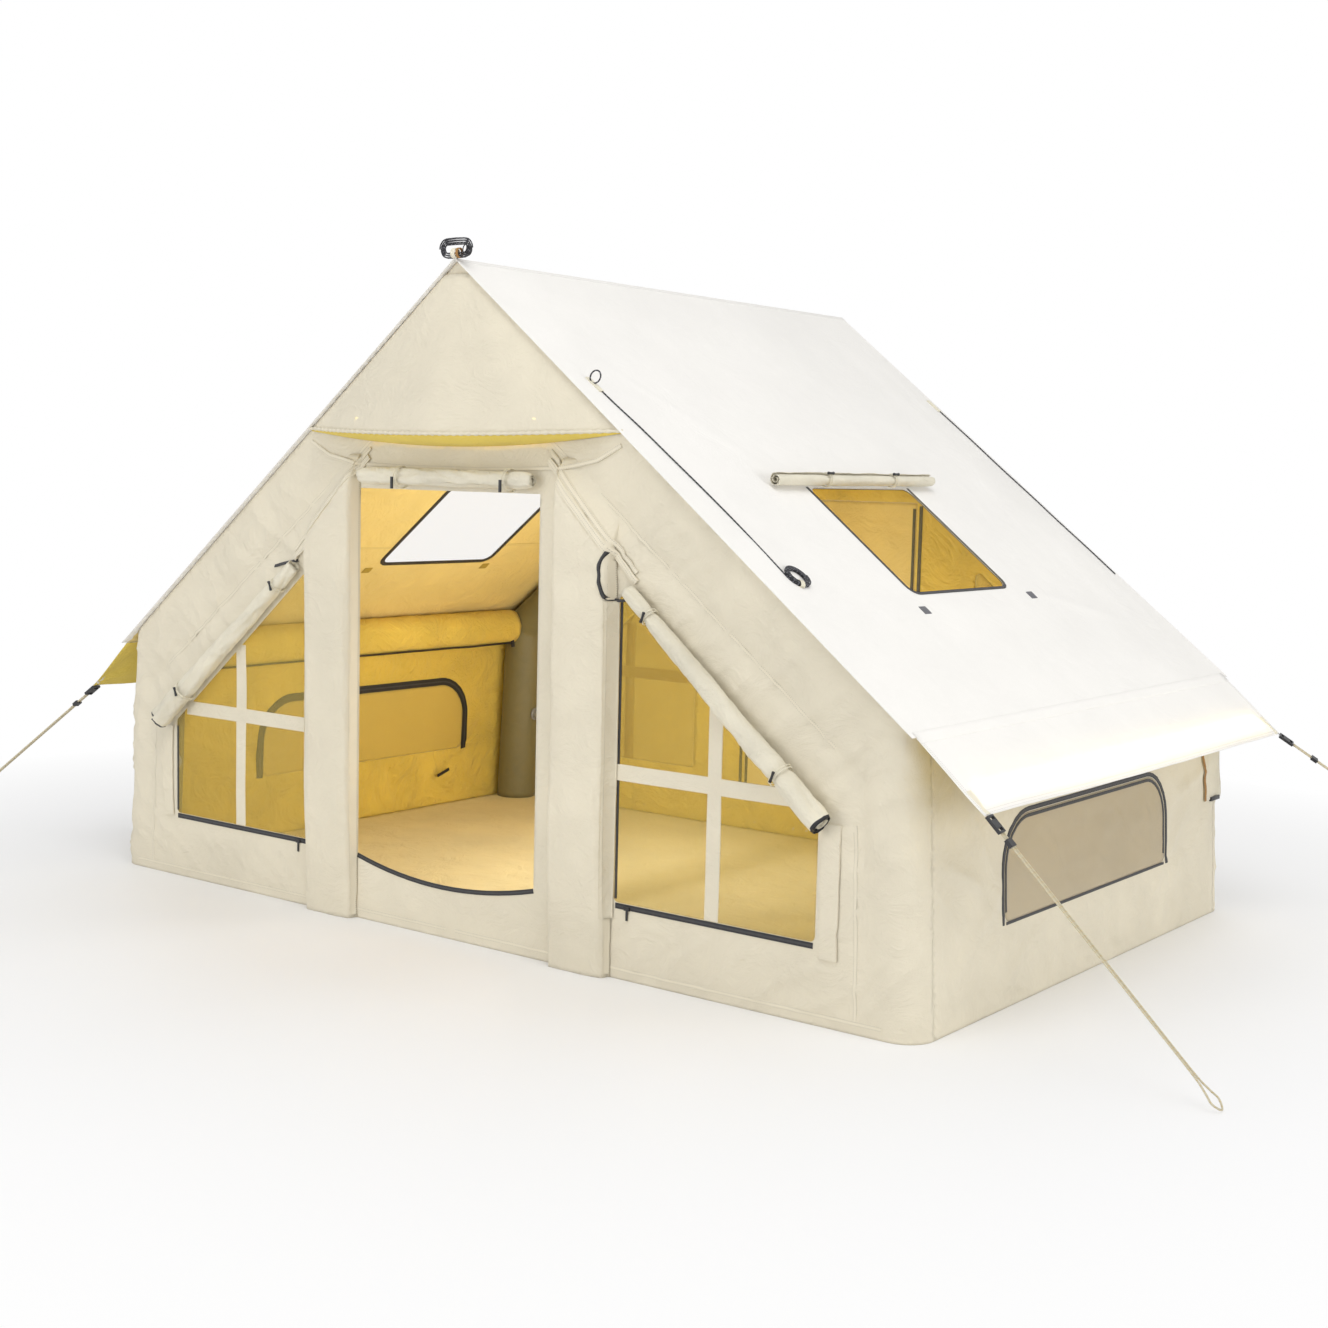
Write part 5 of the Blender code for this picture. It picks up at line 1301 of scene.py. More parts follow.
def puffed_tube(name, path, radius, finish_name, sides, step, pinch=0.004, shrink=0.0012):
    """An inflated tube: soft puckers across it, tighter at its bends."""
    line = np.array(spaced(path, step))
    ahead, first, second = frames_along(line)
    gone = length_along(line)
    bend = np.linalg.norm(np.gradient(ahead, axis=0), axis=1)
    bend = np.clip(np.convolve(bend, np.ones(5) / 5, "same") * 3, 0, 1)
    points, uvs = [], []
    for j, spot in enumerate(line):
        for k in range(sides):
            turn = 2 * math.pi * k / sides
            way = first[j] * math.cos(turn) + second[j] * math.sin(turn)
            pucker = noise.fractal(Vector((gone[j] * 14, math.cos(turn) * 1.2, math.sin(turn) * 1.2)), 1.0, 2.0, 3)
            size = radius - shrink - pinch * (0.25 + bend[j]) * abs(pucker)
            points.append(tuple(spot + way * size))
            uvs.append((turn * radius, gone[j]))
    return make_piece(name, points, ring_faces(len(line), sides), uvs, [finish_name])


def build_air_frame():
    """The inflated arches, beams and door posts inside their cloth."""
    for label, side in (("front", -1), ("back", 1)):
        arch = puffed_tube(f"air_tube_{label}", arch_points(side, 0.0023), TUBE, "tube_grey", 32, 0.022)
        flatten_feet(arch, 0.0023)
        stand_for(arch, f"air_arch_{label}")
    for name, radius in (("eave_beam_right", 0.065), ("eave_beam_left", 0.065), ("ridge_beam", 0.060)):
        low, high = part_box(name)
        middle = (low + high) / 2
        path = [(middle.x, low.y, middle.z), (middle.x, high.y, middle.z)]
        beam = puffed_tube(name + "_sleeve", path, radius, "canvas_inner", 32, 0.02, 0.017, 0.0008)
        if name.startswith("eave"):
            side = 1 if middle.x > 0 else -1
            for vertex in beam.data.vertices:
                if vertex.co.z < middle.z:
                    vertex.co.z = middle.z + (vertex.co.z - middle.z) * 1.22
            turn = math.radians(-62)
            lane = []
            for k in range(61):
                y = low.y + 0.02 + (high.y - low.y - 0.04) * k / 60
                wave = 0.003 * noise.noise(Vector((y * 6, 1, 2)))
                out = radius + 0.0005 + wave * 0.3
                lane.append((
                    middle.x - side * out * math.cos(turn) * 1.01, y, middle.z + out * math.sin(turn) * 1.235 + wave
                ))
            face = (-side * math.cos(turn), 0.0, math.sin(turn))
            zips = webbing(name + "_zip", lane, [face] * len(lane), 0.017, 0.0018, "zip_black")
            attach(zips, "tent")
            hook = [
                (lane[-1][0] - side * 0.004, lane[-1][1] - 0.01 + 0.002 * k, lane[-1][2] + 0.050 - 0.011 * k)
                for k in range(7)
            ]
            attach(webbing(name + "_hook", hook, [face] * 7, 0.016, 0.003, "webbing_black"), "tent")
        stand_for(beam, name)
    for label, side in BOTH_SIDES:
        low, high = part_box(f"door_post_{label}")
        middle = (low + high) / 2
        top = float(cheek_line(middle.x)) - 0.065
        path = [(middle.x, middle.y, low.z), (middle.x, middle.y, top)]
        post = puffed_tube(f"door_post_tube_{label}", path, 0.0435, "tube_grey", 24, 0.03, 0.002)
        for vertex in post.data.vertices:
            flat = float(sleeve_fill(vertex.co.z)) - 0.008
            vertex.co.x = middle.x + (vertex.co.x - middle.x) * 1.35
            vertex.co.y = -HALF_D - 0.003 + (vertex.co.y + HALF_D + 0.0005) * flat / (2 * 0.0435 + 0.004)
        stand_for(post, f"door_post_{label}")


def flatten_feet(piece, height):
    """Brings the tilted end rings of a tube down level with the floor."""
    for vertex in piece.data.vertices:
        if vertex.co.z < height + 0.012:
            vertex.co.z = height


def build_groundsheet():
    """The groundsheet, with soft wrinkles that calm towards its edge."""
    half_x, half_y = HALF_W - 0.0026, HALF_D - 0.0023
    outline = rounded([(-half_x, -half_y), (half_x, -half_y), (half_x, half_y), (-half_x, half_y)], [0.080] * 4, 6)
    def relief(u, v, d):
        made = np.abs(ripple(u, v, 0.30, 0.55, 51.0)) * 0.7 + 0.4 * np.abs(ripple(u, v, 0.8, 0.2, 57.0))
        return 0.002 + rise(d, 0.16, 0.30) * made * 0.010
    sheet = Sheet(floor_surface, outline, [], relief)
    floor = sheet.build("groundsheet_cloth", ["canvas_floor"], 0.0015, 0.035)
    stand_for(floor, "groundsheet")
    sheet.area()


def grid_piece(name, points, finishes, uvs, thickness, lined=True, towards=None):
    """A cloth from a grid of points, thickened away from the side that it faces."""
    rows, cols = len(points), len(points[0])
    flat = [tuple(p) for row in points for p in row]
    faces = [
        (r * cols + c, r * cols + c + 1, (r + 1) * cols + c + 1, (r + 1) * cols + c)
        for r in range(rows - 1) for c in range(cols - 1)
    ]
    a, b, c, d = (np.array([flat[f[k]] for f in faces]) for k in range(4))
    facing = np.cross(c - a, d - b)
    if (facing @ np.array(towards)).sum() < 0:
        faces = [face[::-1] for face in faces]
    made = make_piece(name, flat, faces, [tuple(t) for row in uvs for t in row], finishes)
    thicken(made, thickness, lined)
    return made


def cheek_line(u):
    """The height of the slanted hem that runs from the door's top corner to a window cover."""
    return 1.385 - (np.abs(u) - 0.36)


def sleeve_fill(z):
    """How far the filled part of a post's sleeve stands off the wall: least at its foot."""
    return SLEEVE_BULGE * (0.62 + 0.38 * rise(z, 0.0, 0.45))


def sleeve_depth(u, v):
    """How far a post's sleeve stands off the wall: flat in front, with narrow sides."""
    off = np.abs(np.abs(u) - POST_X) / SLEEVE_FLAT
    depth = 0.0035 + (sleeve_fill(v) - 0.0035) * np.clip(1 - off ** 5, 0, None) ** 0.2
    shut = rise(v - cheek_line(u), -0.05, 0.11)
    return depth * (1 - shut) + 0.0012 * shut


def build_sleeves():
    """The sleeves over the two door posts: flat in front, sewn down on each side."""
    gable = GABLES["front"]
    section = [(-SLEEVE_HALF + (SLEEVE_HALF - SLEEVE_FLAT) * k / 3, 0.0) for k in range(3)]
    for k in range(33):
        across, out = math.cos(math.pi * k / 32), math.sin(math.pi * k / 32)
        section.append((-SLEEVE_FLAT * math.copysign(abs(across) ** 0.4, across), abs(out) ** 0.4))
    section += [(-x, y) for x, y in section[:3][::-1]]
    for label, side in BOTH_SIDES:
        rows = 110
        us, vs, lifts, uvs = [], [], [], []
        for r in range(rows):
            z = 1.40 * r / (rows - 1)
            marks = []
            for c, (x, y) in enumerate(section):
                u = side * POST_X + x
                shut = float(rise(np.array([z - cheek_line(u)]), -0.05, 0.11)[0])
                depth = (0.0035 + (float(sleeve_fill(z)) - 0.0035) * y) * (1 - shut) - 0.0024 * shut
                soft = abs(noise.fractal(Vector((z * 1.6, x * 30, 60 + side)), 1.0, 2.0, 3)) * 0.0055
                foot = math.exp(-z * 14) * (0.5 + 0.5 * math.sin(z * 190 + x * 60)) * 0.004
                tops = math.exp(-((z - cheek_line(u)) / 0.09) ** 2) * (0.5 + 0.5 * math.sin((z + x) * 150)) * 0.004
                lift = y * (soft + foot + tops) * (1 - shut)
                us.append(u + (0.002 * noise.noise(Vector((z * 9, 0.3, side))) if c in (0, len(section) - 1) else 0.0))
                vs.append(z)
                lifts.append(depth + lift + 0.0003)
                marks.append((c * 0.008, z))
            uvs.append(marks)
        base = gable.at(us, vs, np.array(lifts))
        points = [[tuple(p) for p in base[r * len(section):(r + 1) * len(section)]] for r in range(rows)]
        sleeve = grid_piece(
            f"post_sleeve_cloth_{label}", points, ["canvas_cream", "canvas_lining"], uvs, sizes().cloth, True,
            (0, -1, 0)
        )
        stand_for(sleeve, f"post_sleeve_{label}")
    front = Sheet(
        gable.surface, gable.outline, gable.holes, lambda u, v,
        d: gable.relief(u, v, d) + sleeve_depth(u, v) * (v < 1.42)
    )
    jobs = []
    for side in (1, -1):
        for edge in (-1, 1):
            u = side * POST_X + edge * (SLEEVE_HALF - 0.004)
            jobs.append((front, [(u, 0.01), (u, float(cheek_line(u)) - 0.02)], 0.009, 0.0012))
        near, far = side * 0.352, side * 0.668
        for shift, width, height in ((0.0, 0.018, 0.0050), (0.026, 0.012, 0.0030)):
            jobs.append((
                front, [(near, float(cheek_line(near)) + shift), (far, float(cheek_line(far)) + shift)], width, height
            ))
        jobs.append((front, [(side * 0.40, 1.372), (side * 0.52, 1.395), (side * 0.60, 1.435)], 0.012, 0.004))
    jobs.append((front, [(-0.40, 1.372), (-0.2, 1.366), (0.1, 1.364), (0.40, 1.372)], 0.010, 0.0016))
    trim("post_sleeve_seams", jobs, "seam_cream")
    flaps = [
        (front, [(0.596, 1.025), (0.598, 0.6), (0.594, 0.165)], 0.024, 0.0030),
        (front, [(-0.594, 1.09), (-0.592, 0.6), (-0.596, 0.20)], 0.018, 0.0026),
        (front, [(1.292, 0.515), (1.290, 0.34), (1.294, 0.174)], 0.054, 0.0032),
        (front, [(-1.285, 0.50), (-1.287, 0.34), (-1.283, 0.20)], 0.040, 0.0028),
    ]
    trim("zip_flaps", flaps, "canvas_cream", 0.012)
    curls = [
        (
            front,
            smooth_line([
                (0.588, 1.155), (0.574, 1.120), (0.577, 1.060), (0.592, 1.030), (0.626, 1.028), (0.674, 1.050)
            ]),
            0.0075, 0.0072
        ),
        (front, smooth_line([(-0.762, 1.050), (-0.712, 1.062), (-0.655, 1.072)]), 0.009, 0.0030),
    ]
    trim("window_zip_ends", curls, "zip_black", 0.006)


def smooth_line(points):
    line = [(u, v, 0.0) for u, v in points]
    return [(p[0], p[1]) for p in smooth_route(line, [5] * (len(line) - 1))]


def build_hood():
    """The hood over the door: taut along the gable, swelling out and sagging along its hem."""
    peak = RIDGE - CLOTH_DEPTH / math.cos(SLOPE) - 0.0003
    rows, cols = 26, 61
    points, uvs = [], []
    for r in range(rows):
        share = r / (rows - 1) * 0.917
        line, marks = [], []
        for c in range(cols):
            across = 2 * c / (cols - 1) - 1
            swell = (1 - across * across) * (1 - share)
            z = HOOD_HEM + (peak - HOOD_HEM) * share
            half = (peak - z) / math.tan(SLOPE)
            wave = 0.0030 * math.cos(9 * across + 2.2 * share) * (1 - share) ** 2 + 0.004 * noise.fractal(
                Vector((across * 2.5, share * 2.0, 71)), 1, 2, 3
            )
            wave *= min(1.0, (1 - abs(across)) * 6) * min(1.0, (1 - share / 0.917) * 5)
            line.append((across * half, -HALF_D - 0.0043 - 0.10 * swell - wave, z - 0.015 * swell))
            marks.append((across * half, z))
        points.append(line)
        uvs.append(marks)
    hood = grid_piece(
        "front_hood_cloth", points, ["canvas_cream", "canvas_shade"], uvs, sizes().cloth, True, (0, -1, 0)
    )
    stand_for(hood, "front_hood")
    hem = []
    for index, p in enumerate(points[0]):
        hem.append(Vector(p) + Vector((0, -0.0006, 0.004)))
    fine = smooth_route([tuple(p) for p in hem], [4] * (len(hem) - 1))
    girth = [0.0048 + 0.0012 * math.sin(index * 1.25) for index in range(len(fine))]
    edge = tubes("front_hood_hem", [(fine, np.array(girth))], "canvas_cream", 10)
    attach(edge, "tent")
    # The sheet below is painted glow and shade: it closes the hood's underside from its hem back to the wall, standing
    # for the yellow light and the shade beneath the hood.
    under, marks = [], []
    for r in range(9):
        share = r / 8
        line = []
        for c in range(cols):
            across = 2 * c / (cols - 1) - 1
            start = Vector(points[0][c]) + Vector((0, 0.0030, 0.0010))
            end = Vector((start.x * 0.985, -HALF_D - 0.0060, HOOD_HEM - 0.004 - 0.040 * (1 - across * across)))
            sag = 0.010 * math.sin(share * math.pi) * (1 - across * across)
            line.append(tuple(start.lerp(end, share) - Vector((0, 0, sag))))
        under.append(line)
        marks.append([(p[0], share * 0.1) for p in line])
    lining = grid_piece("front_hood_lining", under, ["canvas_shade"], marks, 0.0010, False, (0, -0.4, -1))
    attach(lining, "tent")


def rolled_cloth(
    name, start, end, radii, turns, seed, start_turn, reference, squeeze=(1.0, 1.0), ties=(), rough=1.0, trim=0.0,
    tuck=0.10
):
    """A cover rolled up: a spiral of cloth, drawn in where its ties hold it, with its loose edge along it."""
    start, end = Vector(start), Vector(end)
    ahead = (end - start).normalized()
    first = (Vector(reference) - ahead * ahead.dot(Vector(reference))).normalized()
    second = ahead.cross(first)
    length = (end - start).length
    rows, cols = max(30, int(length / 0.0075)), int(30 * turns)
    points, uvs = [], []
    for r in range(rows):
        share = r / (rows - 1)
        line, marks = [], []
        radius = radii[0] + (radii[1] - radii[0]) * share
        along = share * length
        near = min([abs(share - tie) for tie in ties] or [1.0]) * length
        held = 0.16 * math.exp(-(near / 0.012) ** 2)
        ends = tuck * math.exp(-min(share, 1 - share) * length / (0.010 + 0.02 * tuck))
        twist = 1.4 * rough * noise.noise(Vector((along * 3.0, seed, 0)))
        bow = 0.06 * radius * noise.noise(Vector((along * 4.0, 7, seed)))
        for c in range(cols):
            done = c / (cols - 1)
            turn = start_turn + 2 * math.pi * turns * done
            spot = Vector((along * 7, math.cos(turn + twist) * 1.1, math.sin(turn + twist) * 1.1 + seed))
            soft = abs(noise.fractal(spot, 1, 2, 4)) * 0.20 * rough
            ridge = (0.5 - 0.5 * math.cos(3 * (turn + twist) + seed)) * 0.07 * rough
            pucker = math.exp(-(near / 0.035) ** 2) * (0.5 + 0.5 * math.sin(11 * turn)) * 0.07
            size = radius * (0.30 + 0.70 * done) * (1 - held - ends - (soft + ridge + pucker) * done) - 0.0010
            middle = start + (end - start) * share + first * bow
            swung = middle + first * (size * squeeze[0] * math.cos(turn))
            line.append(tuple(swung + second * (size * squeeze[1] * math.sin(turn))))
            marks.append((turn * radius, along))
        points.append(line)
        uvs.append(marks)
    flat = points[rows // 2][-1]
    made = grid_piece(
        name, points, ["canvas_rolled", "zip_black"], uvs, 0.0011, False, tuple(Vector(flat) - (start + end) / 2)
    )
    if trim:
        for face in made.data.polygons:
            off = face.center - start
            if off.dot(ahead) > length - trim and (off - ahead * off.dot(ahead)).length > 0.45 * radii[1]:
                face.material_index = 1
    return made


def build_rolls():
    """The rolled door, window covers and skylight covers with their ties."""
    ties, knobs = [], []
    y = -HALF_D - 0.0003 - 0.035
    start, end = Vector((DOOR_LEFT + 0.032, y, DOOR_TOP + 0.035)), Vector((DOOR_RIGHT + 0.004, y, DOOR_TOP + 0.035))
    width = DOOR_RIGHT - DOOR_LEFT - 0.028
    held = [(x - start.x) / width for x in (-0.183, 0.236)]
    roll = rolled_cloth(
        "door_roll_cloth", start, end, (0.035, 0.035), 2.2, 80.0, 0.9, (0, 0, 1), (1.0, 0.84), held, 1.7, 0.0, 0.34
    )
    stand_for(roll, "door_roll")
    for x in (-0.183, 0.236):
        ties.append((Vector((x, y, DOOR_TOP + 0.035)), Vector((1, 0, 0)), 0.0315))
    for label, side in BOTH_SIDES:
        near, far = Vector((
            side * 0.650, -HALF_D - 0.0006 - 0.026, 1.056
        )), Vector((side * 1.286, -HALF_D - 0.0006 - 0.042, 0.519))
        roll = rolled_cloth(f"window_roll_cloth_{label}", near, far, (
            0.026, 0.042
        ), 2.6, 90.0 + side, 2.0 if side > 0 else 1.0, (0, 1, 0),
                            (1.0, 1.0), (0.12, 0.80), 1.7, 0.011)
        stand_for(roll, f"window_roll_{label}")
        for share in (0.12, 0.80):
            spot = near + (far - near) * share
            size = 0.026 + 0.016 * share
            ties.append((spot, (far - near).normalized(), size * 0.90))
            knobs.append((spot + Vector((0, -size * 0.90 - 0.005, 0)), Vector((side * 0.35, 0, 0.9))))
        middle, down = SKYLIGHT[side]
        line = roof_surface(side)(
            np.array([middle - 0.475, middle + 0.415]), np.array([down - 0.003, down - 0.010]), np.full(2, 0.0228)
        )
        roll = rolled_cloth(f"skylight_roll_cloth_{label}", line[0], line[1], (
            0.022, 0.022
        ), 1.9, 95.0 + side, 0.5, (0, 0, 1),
                            (1.0, 1.0), (0.30, 0.72), 0.9)
        stand_for(roll, f"skylight_roll_{label}")
        out = slope_out(side)
        for share in (0.30, 0.72):
            spot = Vector(line[0]) + (Vector(line[1]) - Vector(line[0])) * share
            ties.append((spot, Vector((0, 1, 0)), 0.0200))
            knobs.append((spot + out * 0.0245, Vector((0, 1, 0))))
    bands = []
    for spot, ahead, size in ties:
        first = ahead.orthogonal().normalized()
        second = ahead.cross(first)
        for shift in (-0.004, 0.004):
            ring = circle(spot + ahead * shift, first * size, second * size)
            bands.append((ring, 0.0016))
    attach(tubes("roll_ties", bands, "webbing_cream", 6), "tent")
    bpy.ops.object.select_all(action="DESELECT")
    bpy.ops.mesh.primitive_cylinder_add(vertices=16, radius=0.0045, depth=0.030)
    model = bpy.context.object
    model.name = "roll_toggles"
    bpy.ops.object.mode_set(mode="EDIT")
    bpy.ops.mesh.select_all(action="SELECT")
    bpy.ops.mesh.bevel(offset=0.0013, segments=2)
    bpy.ops.mesh.select_all(action="SELECT")
    bpy.ops.mesh.bisect(plane_co=(0, 0, 0.0035), plane_no=(0, 0, 1))
    bpy.ops.mesh.select_all(action="SELECT")
    bpy.ops.mesh.bisect(plane_co=(0, 0, -0.0035), plane_no=(0, 0, 1))
    bpy.ops.object.mode_set(mode="OBJECT")
    model.data.materials.append(finish("plastic_black"))
    for vertex in model.data.vertices:
        if abs(vertex.co.z) < 0.004:
            vertex.co.xy *= 0.72
    bpy.ops.object.shade_smooth_by_angle(angle=math.radians(40))
    pieces = [model]
    for spot, ahead in knobs[1:]:
        copy = model.copy()
        copy.data = model.data.copy()
        bpy.context.scene.collection.objects.link(copy)
        copy.data.transform(Matrix.Translation(spot) @ Vector(ahead).to_track_quat("Z", "Y").to_matrix().to_4x4())
        pieces.append(copy)
    spot, ahead = knobs[0]
    model.data.transform(Matrix.Translation(spot) @ Vector(ahead).to_track_quat("Z", "Y").to_matrix().to_4x4())
    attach(joined("roll_toggles", pieces), "tent")


def build_back_door():
    """The back door's cloth with its hem, and the zips round it."""
    loop = back_door_loop(0.0)
    sheet = Sheet(
        gable_surface(1), loop, [], lambda u, v, d: rise(d, 0, 0.06) * ripple(u, v, 0.3, 0.7, 66.0) * sizes().folds
    )
    door = sheet.build("back_door_cloth", ["canvas_cream", "canvas_lining"], sizes().cloth)
    stand_for(door, "back_door", "back_door")
    wall = GABLES["back"]
    frame_line = [(-0.368, 1.27), (-0.368, 0.142), (0.368, 0.142), (0.368, 1.27)]
    trim("back_door_zip", [(wall, frame_line, 0.013, 0.0012)], "zip_black", 0.015)
    inside_tapes = [(wall, [(end * 0.377, 1.27), (end * 0.377, 0.140)], 0.014, -0.0030) for end in (-1, 1)]
    inside_tapes.append((wall, [(-0.377, 0.137), (0.377, 0.137)], 0.014, -0.0030))
    trim("back_door_inside_zip", inside_tapes, "zip_black", 0.015)
    door_tapes = [(sheet, [(end * 0.350, 1.26), (end * 0.350, 0.160)], 0.012, -0.0030) for end in (-1, 1)]
    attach(strips("back_door_inside_tape", door_tapes, "zip_black", 0.015), "back_door")
    trim(
        "back_door_hem", [(sheet, [(-0.350, 1.26), (-0.350, 0.160), (0.350, 0.160), (0.350, 1.26)], 0.012, 0.0007)],
        "seam_cream", body="back_door"
    )


def build_front_trim():
    """Seams, the door's sill zip and binding, and the foot tapes on the walls."""
    wall = GABLES["front"]
    sill = door_loop()[2:]
    sill = [(u, v - 0.007) for u, v in sill]
    trim("door_zip", [(wall, sill, 0.014, 0.0014)], "zip_black", 0.015)
    jobs = []
    for label in ("front", "back"):
        sheet = GABLES[label]
        for side in (1, -1):
            inset = 0.178 / math.cos(SLOPE)
            u0, u1 = side * 0.30, side * (HALF_W - 0.26)
            peak = gable_peak() - inset
            jobs.append((
                sheet, [(u0, peak - abs(u0) * math.tan(SLOPE)), (u1, peak - abs(u1) * math.tan(SLOPE))], 0.010, 0.0008
            ))
            corner = HALF_W - 0.175
            jobs.append((sheet, [(side * corner, 0.03), (side * (corner - 0.02), 0.52)], 0.010, 0.0008))
            jobs.append((sheet, [(side * (HALF_W - CORNER * 1.2), 0.028), (side * 0.02, 0.028)], 0.010, 0.0008))
    trim("gable_seams", jobs, "seam_cream")


def build_patches():
    """Hook patches on the roof, the cross seam on the roof's inner face in the painted inside glow, tabs, and the small
    loops that stand off the roof.
    """
    for label, side, spots, lift in (
        ("right", 1, [(-0.391, 1.512), (0.288, 1.49)], 0.0012), ("left", -1, [(-0.197, 1.54), (0.419, 1.54)], -0.0036)
    ):
        panel = Sheet(roof_surface(side), roof_outline(), [skylight_loop(side)], roof_relief(side))
        jobs = [(panel, [(u - 0.018, v), (u + 0.018, v)], 0.030, lift) for u, v in spots]
        # The patches inside the left roof are painted with the yellow inside glow.
        coat = "patch_grey" if side > 0 else "patch_olive"
        trim(f"roof_patches_{label}", jobs, coat, 0.008)
        middle = SKYLIGHT[side][0]
        cut = [(-0.83, 1.40), (middle - 0.30, 1.40)], [(middle + 0.30, 1.40), (0.83, 1.40)]
        trim(f"lining_seam_{label}", [(panel, line, 0.012, -0.0030) for line in cut], "seam_lining")
    rings = []
    for side, down, inward, lean in (
        (-1, 0.585, 0.070, 0.2), (-1, 1.335, 0.112, -0.3), (-1, 1.395, 0.120, 0.5), (1, 0.560, 0.062, 0.3)
    ):
        spot = Vector(roof_surface(side)(np.array([-HALF_D + inward]), np.array([down]), np.array([0.0]))[0])
        out = slope_out(side)
        along = Vector((side * math.cos(SLOPE), lean, -math.sin(SLOPE))).normalized()
        high = 0.019 if down < 1 else 0.024
        arc = circle(spot + out * (high + 0.0022), along * (high * 0.75), out * high, 26, -1.45, 4.55)
        rings.append((arc, 0.0022))
    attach(tubes("roof_cord_loops", rings, "cord_dark", 8), "tent")
    y = -HALF_D - 0.02 + 0.004
    rest = RIDGE - ROOF_TOP * math.sin(SLOPE) + 0.0023
    straps = []
    for x, width, coat in ((0.000, 0.016, "webbing_cream"), (0.016, 0.009, "webbing_brown")):
        ring, faces = [], []
        for t in np.linspace(0, 2 * math.pi, 29):
            ring.append((x, y + 0.011 * math.cos(t), rest + 0.0125 + 0.0125 * math.sin(t)))
            faces.append((0, math.cos(t), math.sin(t)))
        straps.append(webbing(f"apex_strap_{coat}", ring, faces, width, 0.0018, coat))
    for strap in straps:
        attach(strap, "tent")
    ring = circle(Vector((0.052, y - 0.006, rest + 0.019)), Vector((0.017, 0, 0)), Vector((0, 0, 0.017)), 33)
    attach(tubes("apex_ring", [(ring, 0.0016)], "plastic_black", 8), "tent")
    tab = [(-(HALF_W - 0.135 * math.tan(TILT)) + 0.012, 0.51 + 0.011 * k, 0.122 + 0.0035 * k) for k in range(7)]
    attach(webbing("floor_tab", tab, [(1, 0, 0)] * 7, 0.012, 0.003, "webbing_black"), "tent")


def build_fittings():
    """The moulded fittings of the frame in their own finishes."""
    for name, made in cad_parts.items():
        if name.startswith(("guy_buckle", "guy_tensioner", "door_toggle", "zip_slider")):
            coat = "plastic_black"
        elif name in ("inflation_valve", "valve_cap", "relief_valve"):
            coat = "plastic_grey"
        else:
            continue
        made.data.materials.clear()
        made.data.materials.append(finish(coat))


def webbing(name, path, normals, width, thickness, finish_name):
    """A flat strap along a path: its face looks along the normals."""
    path, normals = np.array(path, float), np.array(normals, float)
    ahead = np.gradient(path, axis=0)
    ahead /= np.linalg.norm(ahead, axis=1)[:, None]
    across = np.cross(ahead, normals)
    across /= np.linalg.norm(across, axis=1)[:, None]
    up = np.cross(across, ahead)
    gone = length_along(path)
    section = [(-0.5, 0), (-0.48, 1), (0, 1.1), (0.48, 1), (0.5, 0)]
    points, uvs = [], []
    for j in range(len(path)):
        for a, b in section:
            points.append(tuple(path[j] + across[j] * (a * width) + up[j] * (b * thickness)))
            uvs.append((a * width, gone[j]))
    return close_shell(make_piece(name, points, ring_faces(len(path), len(section)), uvs, [finish_name]), 45)


def build_straps():
    """The webbing tabs of the stored cords and the strap by the back right corner."""
    for label, side, end, run in (
        ("right_front", 1, -1, FRONT_RUN), ("left_front", -1, -1, FRONT_RUN), ("right_back", 1, 1, BACK_RUN)
    ):
        spots = roof_surface(side)(
            end * (HALF_D - np.array([run[0][1], run[1][1]])), np.array([run[0][0], run[1][0]]), np.zeros(2)
        )
        start, second = Vector(spots[0]), Vector(spots[1])
        ahead = (second - start).normalized()
        out = slope_out(side)
        path = [start - ahead * (0.0620 * (1 - k / 8)) + out * 0.0006 - ahead * 0.0003 for k in range(9)]
        strap = webbing(f"guy_tab_webbing_{label}", path, [tuple(out)] * 9, 0.018, 0.0034, "webbing_cream")
        stand_for(strap, f"guy_tab_{label}")
    rows, cols = 22, 10
    edge, top, length = HALF_D - 0.043, EAVE - 0.060, 0.328
    points, uvs = [], []
    for r in range(rows):
        share = r / (rows - 1)
        width = 0.178 + (0.135 - 0.178) * share
        v = top - length * share
        us = np.array([edge - width * (1 - c / (cols - 1)) for c in range(cols)])
        lift = 0.0026 + 0.0016 * share * np.array([1 + noise.noise(Vector((u * 30, v * 12, 5))) for u in us])
        points.append([tuple(p) for p in SIDES["right"].at(us, np.full(cols, v), lift)])
        uvs.append([(u, v) for u in us])
    flap = grid_piece("corner_strap_cloth", points, ["canvas_rolled", "canvas_shade"], uvs, 0.0012, True, (1, 0, 0))
    place = wall_surface(1)(np.array([edge - 0.048]), np.array([top - length]), np.array([0.0075]))[0]
    up = Vector((-math.sin(TILT), 0, math.cos(TILT)))
    out = Vector((math.cos(TILT), 0, math.sin(TILT)))
    clip = box_detail("corner_strap_clip", place, (0.072, 0.013, 0.009), ((0, 1, 0), up, out), "plastic_black")
    trim = [points[r][0] for r in range(rows)]
    trim = [(p[0] + 0.0005, p[1] + 0.006, p[2]) for p in trim]
    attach(webbing("corner_strap_edge", trim, [tuple(out)] * rows, 0.013, 0.0016, "webbing_brown"), "tent")
    stand_for(flap, "corner_strap")
    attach(clip, "tent")


# Studio


